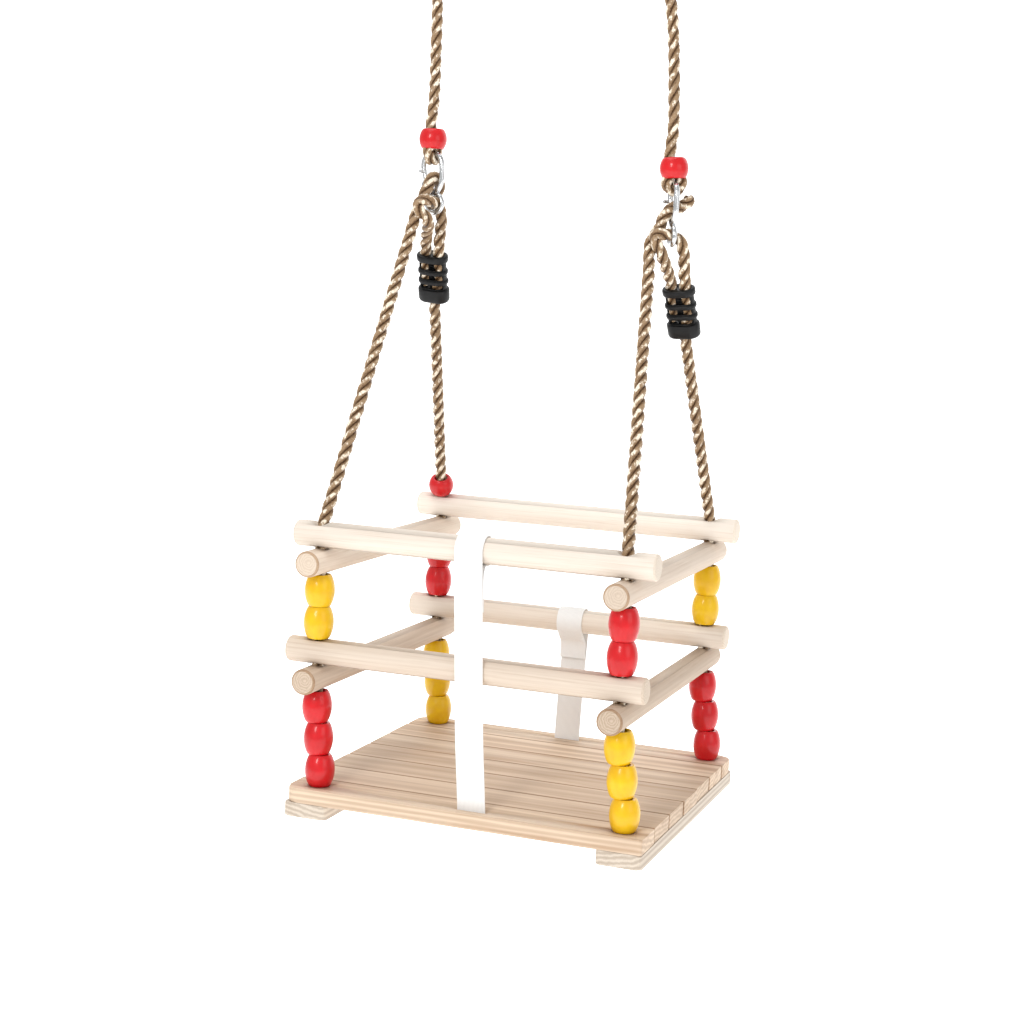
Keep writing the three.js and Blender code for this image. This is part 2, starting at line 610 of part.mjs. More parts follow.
// A round bead that slipped onto the rear left rope and lies on the top rail.
function addLooseBead() {
  const corner = CORNERS.find(({ name }) => name === 'rear_left');
  const [x, y] = railHole(corner);
  const upright = new THREE.Vector3(0, 0, 1);
  const lean = new THREE.Vector3(0.099, -0.418, 0.9).normalize();
  const bead = roundBead(ROUND_BEAD_BORE);
  bead.applyQuaternion(new THREE.Quaternion().setFromUnitVectors(upright, lean));
  addMesh('rear_left_loose_bead', bead.translate(x + 0.9, y - 3.8, LEVELS.railTop + 1.2), 'red');
}

// ---- Crotch strap: from the front upper rail, under the seat, to the rear lower rail ----
function strapX(end, height) {
  const ends = {
    front: [SEAT_SWAY + 5, SEAT_SWAY - 5.5, LEVELS.upperLong],
    rear: [SEAT_SWAY - 4.4, SEAT_SWAY - 3, LEVELS.lowerLong],
  };
  const [bottom, top, topHeight] = ends[end];
  return bottom + (top - bottom) * THREE.MathUtils.clamp(height / topHeight, 0, 1);
}

function ribbon(points, width, thickness) {
  const vertices = [];
  const triangles = [];
  points.forEach(([x, y, z], i) => {
    const before = points[Math.max(i - 1, 0)];
    const after = points[Math.min(i + 1, points.length - 1)];
    const along = new THREE.Vector2(after[1] - before[1], after[2] - before[2]).normalize();
    for (const [side, face] of [[-1, -1], [1, -1], [1, 1], [-1, 1]]) {
      const offset = face * thickness / 2;
      vertices.push(x + side * width / 2, y - along.y * offset, z + along.x * offset);
    }
  });
  for (let i = 0; i < points.length - 1; i += 1) {
    for (let k = 0; k < 4; k += 1) {
      const a = 4 * i + k;
      const b = 4 * i + (k + 1) % 4;
      triangles.push(a, b + 4, b, a, a + 4, b + 4);
    }
  }
  const last = 4 * (points.length - 1);
  triangles.push(0, 1, 2, 0, 2, 3, last, last + 2, last + 1, last, last + 3, last + 2);
  const geometry = new THREE.BufferGeometry();
  geometry.setAttribute('position', new THREE.Float32BufferAttribute(vertices, 3));
  geometry.setIndex(triangles);
  return geometry;
}

function arc(centreY, centreZ, radius, fromDegrees, toDegrees, steps) {
  const points = [];
  for (let i = 0; i <= steps; i += 1) {
    const angle = THREE.MathUtils.degToRad(fromDegrees + (toDegrees - fromDegrees) * i / steps);
    points.push([centreY + radius * Math.cos(angle), centreZ + radius * Math.sin(angle)]);
  }
  return points;
}

function strap() {
  const wrap = RAIL_DIAMETER / 2 + GAP + STRAP_THICKNESS / 2;
  const railY = HOLE_SPACING_Y / 2;
  const underside = -SLAT_THICKNESS - GAP - STRAP_THICKNESS / 2;
  const front = [
    [-railY - wrap + 2.2, 166], [-railY - wrap + 2.2, 190], [-railY - wrap + 4.4, 199],
    ...arc(-railY, LEVELS.upperLong, wrap, -110, 180, 14),
    [-railY - wrap, 160], [-railY - wrap, 110], [-railY - wrap + 1, 60], [FRONT_SLOT_Y - 0.8, 14],
    [FRONT_SLOT_Y, 0], [FRONT_SLOT_Y, underside + 4],
  ];
  const under = [
    ...arc(FRONT_SLOT_Y + 3, underside + 3, 3, 200, 270, 4),
    [-60, underside], [0, underside], [60, underside],
    ...arc(REAR_SLOT_Y - 3, underside + 3, 3, 270, 340, 4),
  ];
  const rear = [
    [REAR_SLOT_Y, underside + 4], [REAR_SLOT_Y, 0], [REAR_SLOT_Y + 1, 25], [railY + 8, 70],
    [railY + wrap - 1, 98],
    ...arc(railY, LEVELS.lowerLong, wrap, 0, 235, 12),
    [railY - 1.2, 99.6], [railY + 3.4, 95], [railY + 5, 88], [railY + 4.6, 79],
  ];
  const path = [...front, ...under, ...rear].map(([y, z], i) => {
    if (i < front.length) return [strapX('front', z), y, z];
    if (i >= front.length + under.length) return [strapX('rear', z), y, z];
    const t = (y - FRONT_SLOT_Y) / (REAR_SLOT_Y - FRONT_SLOT_Y);
    return [THREE.MathUtils.lerp(strapX('front', 0), strapX('rear', 0), t), y, z];
  });
  return ribbon(path, STRAP_WIDTH, STRAP_THICKNESS);
}

addSeat();
addMesh('left_batten', batten(-1), 'seatWood');
addMesh('right_batten', batten(1), 'seatWood');
addRails();
addBeads();
addHooks();
addAdjusters();
addCornerRopes();
addHangers();
addLooseBead();
addMesh('crotch_strap', strap(), 'webbing');

export default swing;
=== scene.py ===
"""Toddler bucket swing: slatted seat, dowel rails, painted beads and laid rope."""
import math
import random

import bmesh
import bpy
from mathutils import Matrix, Vector


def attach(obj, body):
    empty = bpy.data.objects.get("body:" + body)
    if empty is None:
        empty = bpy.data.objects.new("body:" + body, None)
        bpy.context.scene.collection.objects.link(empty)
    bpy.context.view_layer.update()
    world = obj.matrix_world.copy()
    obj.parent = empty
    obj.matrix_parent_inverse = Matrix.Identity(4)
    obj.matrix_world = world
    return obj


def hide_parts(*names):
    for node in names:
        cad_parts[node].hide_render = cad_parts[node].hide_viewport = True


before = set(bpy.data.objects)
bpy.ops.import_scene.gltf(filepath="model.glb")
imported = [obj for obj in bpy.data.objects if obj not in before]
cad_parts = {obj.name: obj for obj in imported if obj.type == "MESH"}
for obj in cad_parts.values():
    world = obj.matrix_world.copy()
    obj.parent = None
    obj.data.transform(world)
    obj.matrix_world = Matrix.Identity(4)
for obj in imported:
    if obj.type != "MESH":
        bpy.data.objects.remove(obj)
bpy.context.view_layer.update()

MM = 0.001
HANG_HEIGHT = 776
SEAT_SWAY = 9
RAIL_SLIP = -9
BOARD_SHIFT = -3
RAIL_SHIFTS = {"lower": -2, "upper": 2}
random.seed(7)


def place(x, y, z):
    """A point in millimetres above the seat's top face, in the frame's metres."""
    return Vector((x, y, z - HANG_HEIGHT)) * MM


# ---- Camera ----
def add_camera():
    yaw, pitch, roll = (math.radians(a) for a in (20.1, 7.11, 2.7))
    forward = Vector((-math.sin(yaw) * math.cos(pitch), math.cos(yaw) * math.cos(pitch),
                      -math.sin(pitch)))
    level = Vector((math.cos(yaw), math.sin(yaw), 0))
    up = level.cross(forward)
    right = level * math.cos(roll) + up * math.sin(roll)
    up = up * math.cos(roll) - level * math.sin(roll)
    data = bpy.data.cameras.new("camera")
    data.lens = 65.54
    data.sensor_width = 36
    data.clip_end = 50
    camera = bpy.data.objects.new("camera", data)
    matrix = Matrix((right, up, -forward)).transposed().to_4x4()
    matrix.translation = Vector((0.5455, -1.5261, -0.3424))
    camera.matrix_world = matrix
    bpy.context.collection.objects.link(camera)
    bpy.context.scene.camera = camera


add_camera()


# ---- Curves and meshes ----
def smooth(points, per=8):
    """A centripetal Catmull-Rom curve through the points."""
    pts = [Vector(p) for p in points]
    pts = [pts[0] * 2 - pts[1]] + pts + [pts[-1] * 2 - pts[-2]]
    out = []
    for p0, p1, p2, p3 in zip(pts, pts[1:], pts[2:], pts[3:]):
        d0, d1, d2 = (max((b - a).length, 1e-6) ** 0.5 for a, b in ((p0, p1), (p1, p2), (p2, p3)))
        t1 = ((p1 - p0) / d0 - (p2 - p0) / (d0 + d1) + (p2 - p1) / d1) * d1
        t2 = ((p2 - p1) / d1 - (p3 - p1) / (d1 + d2) + (p3 - p2) / d2) * d1
        for k in range(per):
            t = k / per
            out.append(p1 * (2 * t ** 3 - 3 * t ** 2 + 1) + t1 * (t ** 3 - 2 * t ** 2 + t)
                       + p2 * (3 * t ** 2 - 2 * t ** 3) + t2 * (t ** 3 - t ** 2))
    return out + [pts[-2].copy()]


def even(points, step):
    """The same line, with its points a step apart."""
    total = sum((b - a).length for a, b in zip(points, points[1:]))
    count = max(2, round(total / step))
    out, i, passed = [], 0, 0.0
    for k in range(count + 1):
        goal = total * k / count
        while i < len(points) - 2 and passed + (points[i + 1] - points[i]).length < goal:
            passed += (points[i + 1] - points[i]).length
            i += 1
        span = (points[i + 1] - points[i]).length
        out.append(points[i].lerp(points[i + 1], min(1.0, (goal - passed) / max(span, 1e-9))))
    return out


def length_of(points):
    return sum((b - a).length for a, b in zip(points, points[1:]))


def frames_along(points, closed=False):
    """Tangent, normal and binormal at each point, turning as little as possible."""
    n = len(points)
    out, normal = [], None
    for i, p in enumerate(points):
        if closed:
            tangent = (points[(i + 1) % n] - points[i - 1]).normalized()
        else:
            tangent = (points[min(i + 1, n - 1)] - points[max(i - 1, 0)]).normalized()
        if normal is None:
            side = Vector((1, 0, 0)) if abs(tangent.x) < 0.8 else Vector((0, 1, 0))
            normal = tangent.cross(side).normalized()
        normal = (normal - tangent * normal.dot(tangent)).normalized()
        out.append((tangent, normal, tangent.cross(normal)))
    return out


class Shell:
    """Collects rings of points into one mesh, with a UV map in metres and a crest value."""

    def __init__(self):
        self.verts, self.faces, self.uvs, self.crest = [], [], [], []

    def rings(self, rings, closed=False, lengths=None, widths=None, crest=None):
        start, count, size = len(self.verts), len(rings), len(rings[0])
        for ring in rings:
            self.verts.extend(ring)
            self.crest.extend(crest or [0.5] * size)
        lengths = lengths or [0.0] * (count + 1)
        widths = widths or [k / size for k in range(size + 1)]
        for i in range(count if closed else count - 1):
            a, b = start + i * size, start + ((i + 1) % count) * size
            for k in range(size):
                k2 = (k + 1) % size
                self.faces.append((a + k, a + k2, b + k2, b + k))
                self.uvs.append(((lengths[i], widths[k]), (lengths[i], widths[k + 1]),
                                 (lengths[i + 1], widths[k + 1]), (lengths[i + 1], widths[k])))
        if not closed:
            last = start + (count - 1) * size
            self.faces.append(tuple(range(start + size - 1, start - 1, -1)))
            self.faces.append(tuple(range(last, last + size)))
            self.uvs.extend([((0.0, 0.0),) * size] * 2)

    def pipe(self, points, radius, sides=12, closed=False, rounded=0.5):
        """A tube; rounded is how far its ends are domed, as a share of the radius."""
        frames = frames_along(points, closed)
        rings, lengths = [], [0.0]
        for i, (p, (_, n, b)) in enumerate(zip(points, frames)):
            rings.append([p + (n * math.cos(a) + b * math.sin(a)) * radius
                          for a in (2 * math.pi * k / sides for k in range(sides))])
            lengths.append(lengths[-1] + (points[(i + 1) % len(points)] - p).length)
        if not closed and rounded:
            rings = self.domed(points, frames, radius, rounded, rings)
            lengths = [0.0] * 2 + lengths + [lengths[-1]] * 3
        widths = [k / sides * 2 * math.pi * radius for k in range(sides + 1)]
        self.rings(rings, closed, lengths, widths)

    @staticmethod
    def domed(points, frames, radius, rounded, rings):
        """The rings with two smaller ones pushed out at each end."""
        first, last = [], []
        for squeeze, push in ((0.5, 0.85), (0.87, 0.5)):
            for end, sign, out in ((0, -1, first), (-1, 1, last)):
                centre = points[end] + frames[end][0] * sign * push * rounded * radius
                out.append([centre + (p - points[end]) * squeeze for p in rings[end]])
        return first + rings + last[::-1]

    def lathe(self, profile, matrix, segments=48):
        """Turns a profile of (radius, height) that ends on the axis or closes on itself."""
        rings = [[matrix @ Vector((r * math.cos(a), r * math.sin(a), z))
                  for a in (2 * math.pi * k / segments for k in range(segments))]
                 for r, z in profile]
        self.rings(rings, closed=profile[0] == profile[-1])

    def object(self, name, material, smooth_angle=40):
        mesh = bpy.data.meshes.new(name)
        mesh.from_pydata([tuple(v) for v in self.verts], [], self.faces)
        uv = mesh.uv_layers.new(name="UVMap")
        uv.data.foreach_set("uv", [c for face in self.uvs for pair in face for c in pair])
        mesh.attributes.new("crest", "FLOAT", "POINT").data.foreach_set("value", self.crest)
        return finish_mesh(name, mesh, material, smooth_angle)


def finish_mesh(name, mesh, material, smooth_angle=40):
    """Makes the object; edges sharper than the angle in degrees stay crisp."""
    bm = bmesh.new()
    bm.from_mesh(mesh)
    bmesh.ops.remove_doubles(bm, verts=bm.verts, dist=1e-7)
    bmesh.ops.recalc_face_normals(bm, faces=bm.faces)
    limit = math.radians(smooth_angle)
    for face in bm.faces:
        face.smooth = True
    for edge in bm.edges:
        edge.smooth = len(edge.link_faces) == 2 and edge.calc_face_angle(0) < limit
    bm.to_mesh(mesh)
    bm.free()
    mesh.materials.append(material)
    obj = bpy.data.objects.new(name, mesh)
    bpy.context.collection.objects.link(obj)
    return obj


def cut(obj, cutters):
    """Cuts holes, and applies the result to the mesh."""
    for cutter in cutters:
        modifier = obj.modifiers.new("cut", "BOOLEAN")
        modifier.operation = "DIFFERENCE"
        modifier.solver = "EXACT"
        modifier.object = cutter
    bpy.context.view_layer.update()
    depsgraph = bpy.context.evaluated_depsgraph_get()
    mesh = bpy.data.meshes.new_from_object(obj.evaluated_get(depsgraph))
    obj.modifiers.clear()
    obj.data = mesh
    for cutter in cutters:
        bpy.data.objects.remove(cutter)


def rod(name, a, b, radius, material, far_radius=None):
    """A round bar or cone from a to b."""
    shell = Shell()
    axis = b - a
    matrix = Matrix.Translation(a) @ axis.to_track_quat("Z", "Y").to_matrix().to_4x4()
    far = far_radius or radius
    shell.lathe([(0, 0), (radius, 0), (far, axis.length), (0, axis.length)], matrix, 32)
    return shell.object(name, material)


def stand_for(obj, body, slot, *nodes):
    """Puts the piece on its body, in place of the CAD's nodes."""
    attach(obj, body)
    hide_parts(*nodes)


# ---- Materials ----
def tree_of(name):
    material = bpy.data.materials.new(name)
    material.use_nodes = True
    nodes, links = material.node_tree.nodes, material.node_tree.links
    return material, nodes, links, nodes["Principled BSDF"]


def ramp(nodes, stops):
    node = nodes.new("ShaderNodeValToRGB")
    elements = node.color_ramp.elements
    while len(elements) < len(stops):
        elements.new(0.5)
    for element, (position, colour) in zip(elements, stops):
        element.position = position
        element.color = (*colour, 1)
    return node


def bump(nodes, links, shader, source, strength, distance):
    node = nodes.new("ShaderNodeBump")
    node.inputs["Strength"].default_value = strength
    node.inputs["Distance"].default_value = distance
    links.new(source, node.inputs["Height"])
    links.new(node.outputs["Normal"], shader.inputs["Normal"])


def mapped(nodes, links, scale, location=(0, 0, 0), output="Object"):
    coordinates = nodes.new("ShaderNodeTexCoord")
    mapping = nodes.new("ShaderNodeMapping")
    mapping.inputs["Scale"].default_value = scale
    mapping.inputs["Location"].default_value = location
    links.new(coordinates.outputs[output], mapping.inputs["Vector"])
    return mapping.outputs["Vector"]


def noise(nodes, links, vector, scale, detail=4.0, rough=0.55, distortion=0.0):
    node = nodes.new("ShaderNodeTexNoise")
    node.inputs["Scale"].default_value = scale
    node.inputs["Detail"].default_value = detail
    node.inputs["Roughness"].default_value = rough
    node.inputs["Distortion"].default_value = distortion
    links.new(vector, node.inputs["Vector"])
    return node.outputs["Fac"]


def maths(nodes, links, operation, a, b):
    node = nodes.new("ShaderNodeMath")
    node.operation = operation
    for socket, value in zip(node.inputs, (a, b)):
        if isinstance(value, (int, float)):
            socket.default_value = value
        else:
            links.new(value, socket)
    return node.outputs[0]


def blend_colour(nodes, links, factor, a, b, mode="MIX"):
    node = nodes.new("ShaderNodeMix")
    node.data_type = "RGBA"
    node.blend_type = mode
    for socket, value in ((node.inputs[0], factor), (node.inputs[6], a), (node.inputs[7], b)):
        if isinstance(value, (int, float)):
            socket.default_value = value
        elif isinstance(value, tuple):
            socket.default_value = (*value, 1)
        else:
            links.new(value, socket)
    return node.outputs[2]


def wood(name, along, light, dark, shift, rings=0.3, edges=None):
    """Straight-grained wood with long streaks and fine pores.

    Its grain runs along an axis, and shift moves it, so that no two boards are alike. The share of
    growth rings is rings, and edges are the two y in millimetres near which a board is darkened
    with painted shade, as in the seams between slats.
    """
    material, nodes, links, shader = tree_of(name)

    def stretched(across, lengthways, offset):
        stretch = [across] * 3
        stretch["XYZ".index(along)] = lengthways
        return mapped(nodes, links, stretch, offset)

    broad = noise(nodes, links, stretched(45.0, 3.0, shift), 1.0, 6.0, 0.62, 0.8)
    fine = noise(nodes, links, stretched(900.0, 14.0, shift), 1.0, 3.0, 0.6)
    wave = nodes.new("ShaderNodeTexWave")
    wave.wave_type = "RINGS"
    wave.rings_direction = along
    wave.inputs["Scale"].default_value = 1.0
    wave.inputs["Distortion"].default_value = 5.0
    wave.inputs["Detail"].default_value = 3.0
    links.new(stretched(75.0, 2.4, [v * 0.37 for v in shift]), wave.inputs["Vector"])
    mix = maths(nodes, links, "ADD", maths(nodes, links, "MULTIPLY", wave.outputs["Fac"], rings),
                maths(nodes, links, "MULTIPLY", broad, 1 - rings))
    middle = tuple((a + b) / 2 for a, b in zip(light, dark))
    colours = ramp(nodes, [(0.22, dark), (0.5, middle), (0.68, light)])
    links.new(mix, colours.inputs["Fac"])
    pores = ramp(nodes, [(0.30, (0.84, 0.78, 0.72)), (0.48, (1, 1, 1))])
    links.new(fine, pores.inputs["Fac"])
    colour = blend_colour(nodes, links, 0.6, colours.outputs["Color"],
                          pores.outputs["Color"], "MULTIPLY")
    if edges:
        # Painted shade: darker within about two millimetres of the edges, where the slats meet.
        axis = nodes.new("ShaderNodeSeparateXYZ")
        links.new(mapped(nodes, links, (1, 1, 1)), axis.inputs["Vector"])
        y = axis.outputs["Y"]
        near = maths(nodes, links, "MINIMUM", maths(nodes, links, "SUBTRACT", y, edges[0] * MM),
                     maths(nodes, links, "SUBTRACT", edges[1] * MM, y))
        near = maths(nodes, links, "ADD", near, maths(nodes, links, "MULTIPLY", broad, 0.0008))
        seam_shade = ramp(nodes, [(0.0, (0.22, 0.13, 0.075)), (0.5, (0.58, 0.45, 0.34)),
                             (1.0, (1, 1, 1))])
        links.new(maths(nodes, links, "MULTIPLY", near, 440.0), seam_shade.inputs["Fac"])
        colour = blend_colour(nodes, links, 0.85, colour, seam_shade.outputs["Color"], "MULTIPLY")
        patch = noise(nodes, links, stretched(60.0, 5.5, [v * 1.7 for v in shift]), 1.0, 2.0, 0.5)
        streak = ramp(nodes, [(0.60, (0, 0, 0)), (0.74, (1, 1, 1))])
        links.new(patch, streak.inputs["Fac"])
        amount = maths(nodes, links, "MULTIPLY", streak.outputs["Color"], 0.6)
        colour = blend_colour(nodes, links, amount, colour, (0.40, 0.235, 0.13))
    links.new(colour, shader.inputs["Base Color"])
    shader.inputs["Roughness"].default_value = 0.62
    shader.inputs["Specular IOR Level"].default_value = 0.3
    bump(nodes, links, shader, fine, 0.35, 0.0002)
    return material


def end_grain(name, along, light, dark, centre):
    """The sawn end of a dowel, with close rings round its own middle, and pores."""
    material, nodes, links, shader = tree_of(name)
    vector = mapped(nodes, links, (1, 1, 1), [-v for v in centre])
    wave = nodes.new("ShaderNodeTexWave")
    wave.wave_type = "RINGS"
    wave.rings_direction = along
    wave.inputs["Scale"].default_value = 150.0
    wave.inputs["Distortion"].default_value = 6.0
    wave.inputs["Detail"].default_value = 2.0
    wave.inputs["Detail Scale"].default_value = 1.5
    links.new(vector, wave.inputs["Vector"])
    speckle = noise(nodes, links, vector, 900.0, 3.0, 0.7)
    mix = maths(nodes, links, "ADD", maths(nodes, links, "MULTIPLY", wave.outputs["Fac"], 0.35),
                maths(nodes, links, "MULTIPLY", speckle, 0.65))
    colours = ramp(nodes, [(0.25, dark), (0.7, light)])
    links.new(mix, colours.inputs["Fac"])
    links.new(colours.outputs["Color"], shader.inputs["Base Color"])
    shader.inputs["Roughness"].default_value = 0.8
    bump(nodes, links, shader, speckle, 0.5, 0.0003)
    return material


def paint(name, colour, deep):
    """Glossy lacquer, slightly uneven over the turned wood."""
    material, nodes, links, shader = tree_of(name)
    vector = mapped(nodes, links, (1, 1, 1))
    cloud = noise(nodes, links, vector, 70.0, 3.0)
    colours = ramp(nodes, [(0.35, deep), (0.65, colour)])
    links.new(cloud, colours.inputs["Fac"])
    links.new(colours.outputs["Color"], shader.inputs["Base Color"])
    shader.inputs["Roughness"].default_value = 0.42
    shader.inputs["Specular IOR Level"].default_value = 0.22
    shader.inputs["Coat Weight"].default_value = 0.5
    shader.inputs["Coat Roughness"].default_value = 0.15
    bump(nodes, links, shader, noise(nodes, links, vector, 260.0, 2.0), 0.12, 0.0003)
    return material


def rope_material():
    """Silky laid rope: brown yarns, with painted shade in the grooves, painted light on the crests
    and painted cream highlights there.
    """
    material, nodes, links, shader = tree_of("laid_rope")
    crest = nodes.new("ShaderNodeAttribute")
    crest.attribute_name = "crest"
    along_yarns = mapped(nodes, links, (170.0, 1500.0, 1.0), output="UV")
    yarn = noise(nodes, links, along_yarns, 1.0, 3.0, 0.6)
    glint = noise(nodes, links, mapped(nodes, links, (230.0, 230.0, 150.0)), 1.0, 2.0, 0.6)
    fibre = noise(nodes, links, mapped(nodes, links, (1, 1, 1)), 620.0, 3.0, 0.65)
    # The crest value darkens the grooves and lightens the crests: painted shade and light over the
    # yarns' own tone.
    body = maths(nodes, links, "ADD", crest.outputs["Fac"],
                 maths(nodes, links, "MULTIPLY", maths(nodes, links, "SUBTRACT", yarn, 0.5), 1.2))
    body = maths(nodes, links, "ADD", body,
                 maths(nodes, links, "MULTIPLY", maths(nodes, links, "SUBTRACT", fibre, 0.5), 1.3))
    colours = ramp(nodes, [(0.20, (0.085, 0.040, 0.016)), (0.55, (0.215, 0.125, 0.058)),
                           (0.95, (0.36, 0.235, 0.13))])
    links.new(body, colours.inputs["Fac"])
    # Painted highlights: cream spots where the crests and the glint noise are both high.
    shine = maths(nodes, links, "MULTIPLY", crest.outputs["Fac"], glint)
    shine = maths(nodes, links, "ADD", shine, maths(nodes, links, "MULTIPLY", yarn, 0.2))
    shine = maths(nodes, links, "ADD", shine, maths(nodes, links, "MULTIPLY", fibre, 0.3))
    painted_glints = ramp(nodes, [(0.70, (0, 0, 0)), (0.79, (1, 1, 1))])
    links.new(shine, painted_glints.inputs["Fac"])
    colour = blend_colour(nodes, links, painted_glints.outputs["Color"], colours.outputs["Color"],
                          (0.95, 0.84, 0.68))
    links.new(colour, shader.inputs["Base Color"])
    shader.inputs["Roughness"].default_value = 0.36
    shader.inputs["Specular IOR Level"].default_value = 0.4
    shader.inputs["Sheen Weight"].default_value = 0.05
    shader.inputs["Sheen Roughness"].default_value = 0.4
    bump(nodes, links, shader, fibre, 0.8, 0.0009)
    return material


def webbing_material():
    """White woven tape, ribbed by its weave, with painted shade in the weave's hollows."""
    material, nodes, links, shader = tree_of("webbing")
    weave = nodes.new("ShaderNodeTexWave")
    weave.bands_direction = "Y"
    weave.inputs["Scale"].default_value = 1.0
    weave.inputs["Distortion"].default_value = 0.4
    links.new(mapped(nodes, links, (160.0, 260.0, 1.0), output="UV"), weave.inputs["Vector"])
    picks = nodes.new("ShaderNodeTexWave")
    picks.bands_direction = "X"
    picks.inputs["Scale"].default_value = 1.0
    links.new(mapped(nodes, links, (330.0, 90.0, 1.0), output="UV"), picks.inputs["Vector"])
    height = maths(nodes, links, "ADD", maths(nodes, links, "MULTIPLY", weave.outputs["Fac"], 0.6),
                   maths(nodes, links, "MULTIPLY", picks.outputs["Fac"], 0.4))
    # Painted shade: the weave's low places are greyer.
    colours = ramp(nodes, [(0.15, (0.74, 0.73, 0.71)), (0.6, (0.93, 0.925, 0.91))])
    links.new(height, colours.inputs["Fac"])
    links.new(colours.outputs["Color"], shader.inputs["Base Color"])
    shader.inputs["Roughness"].default_value = 0.85
    shader.inputs["Sheen Weight"].default_value = 0.2
    bump(nodes, links, shader, height, 0.5, 0.0004)
    return material


def metal_material():
    """Bright zinc, clouded and slightly rough."""
    material, nodes, links, shader = tree_of("zinc")
    vector = mapped(nodes, links, (1, 1, 1))
    cloud = noise(nodes, links, vector, 160.0, 4.0)
    colours = ramp(nodes, [(0.3, (0.52, 0.53, 0.54)), (0.7, (0.80, 0.81, 0.82))])
    links.new(cloud, colours.inputs["Fac"])
    links.new(colours.outputs["Color"], shader.inputs["Base Color"])
    shader.inputs["Metallic"].default_value = 1.0
    rough = maths(nodes, links, "ADD", maths(nodes, links, "MULTIPLY", cloud, 0.16), 0.14)
    links.new(rough, shader.inputs["Roughness"])
    bump(nodes, links, shader, noise(nodes, links, vector, 700.0, 2.0), 0.15, 0.0002)
    return material


def plastic_material():
    """Moulded black plastic with a soft sheen."""
    material, nodes, links, shader = tree_of("black_plastic")
    vector = mapped(nodes, links, (1, 1, 1))
    cloud = noise(nodes, links, vector, 120.0, 3.0)
    colours = ramp(nodes, [(0.3, (0.0032, 0.0032, 0.0035)), (0.7, (0.0065, 0.0065, 0.007))])
    links.new(cloud, colours.inputs["Fac"])
    links.new(colours.outputs["Color"], shader.inputs["Base Color"])
    shader.inputs["Roughness"].default_value = 0.42
    shader.inputs["Specular IOR Level"].default_value = 0.28
    bump(nodes, links, shader, noise(nodes, links, vector, 900.0, 3.0), 0.25, 0.0002)
    return material


ROPE = rope_material()
RED = paint("red_paint", (0.65, 0.005, 0.010), (0.54, 0.003, 0.006))
YELLOW = paint("yellow_paint", (0.83, 0.515, 0.002), (0.75, 0.42, 0.001))
ZINC = metal_material()
PLASTIC = plastic_material()
WEBBING = webbing_material()

# ---- Where things are, in millimetres and degrees ----
# ring is the ring's x, bearing where a hanging rope bears on its hook, turn and lean the hook's
# angles, and up the direction of the adjuster's length.
SIDES = {
    "left": {"ring": -104, "bearing": (-102.5, 0, 537), "turn": -14, "lean": 6,
             "adjuster": (-110, 31, 432), "up": (0.1, -0.433, 0.895)},
    "right": {"ring": 104, "bearing": (117.5, 0, 517), "turn": -59, "lean": 2,
              "adjuster": (121.5, 32, 412.5), "up": (-0.06, -0.433, 0.895)},
}
# Each corner's side, the signs of its x and y, and its upper and lower beads' paint.
CORNERS = {
    "front_left": ("left", -1, -1, YELLOW, RED), "front_right": ("right", 1, -1, RED, YELLOW),
    "rear_left": ("left", -1, 1, RED, YELLOW), "rear_right": ("right", 1, 1, YELLOW, RED),
}
SEAT_HOLE_X = 135.5
RAIL_HOLE_X = 133.5
HOLE_Y = 130.5
HOLE_RADIUS = 5.5
HALF_WIDTH = 157.5      # of the seat, and of each rail's length
HALF_DEPTH = 149        # of the seat
RAIL_RADIUS = 11.0
LOWER_SIDE = 93.2
LOWER_LONG = 115.5
UPPER_BEADS = 126.8
UPPER_SIDE = 192.4
UPPER_LONG = 214.7
BEAD_PITCH = 27.3
UNDER = -24.8
FRONT_SLOT_Y = -137.5
REAR_SLOT_Y = 134
RING_RADIUS = 22
RING_Z = 757
EYE_KNOT_Z = RING_Z - RING_RADIUS - 34
GATE_PIVOT_Z = -24


def seat_hole(corner):
    _, sx, sy, _, _ = CORNERS[corner]
    return SEAT_SWAY + sx * SEAT_HOLE_X, sy * HOLE_Y


def rail_hole(corner):
    _, sx, sy, _, _ = CORNERS[corner]
    return SEAT_SWAY + RAIL_SLIP + sx * RAIL_HOLE_X, sy * HOLE_Y


def hook_frame(side):
    s = SIDES[side]
    turn = Matrix.Rotation(math.radians(s["turn"]), 4, "Z")
    lean = Matrix.Rotation(math.radians(-s["lean"]), 4, "Y")
    return Matrix.Translation(place(*s["bearing"])) @ turn @ lean @ Matrix.Scale(MM, 4)


def adjuster_frame(side):
    s = SIDES[side]
    up = Vector(s["up"]).normalized()
    across = (Vector((1, 0, 0)) - up * up.x).normalized()
    basis = Matrix((across, up.cross(across), up)).transposed().to_4x4()
    return Matrix.Translation(place(*s["adjuster"])) @ basis @ Matrix.Scale(MM, 4)


def hanging_frame(side):
    s = SIDES[side]
    bearing = Vector(s["bearing"])
    up = (Vector((s["ring"], 0, RING_Z - RING_RADIUS)) - bearing).normalized()
    turn = math.radians(s["turn"])
    back = Vector((-math.sin(turn), math.cos(turn), 0))
    across = back.cross(up).normalized()
    basis = Matrix((across, up.cross(across), up)).transposed().to_4x4()
    return Matrix.Translation(place(*s["bearing"])) @ basis @ Matrix.Scale(MM, 4)


# ---- Ropes ----
ROPE_PITCH = 0.035


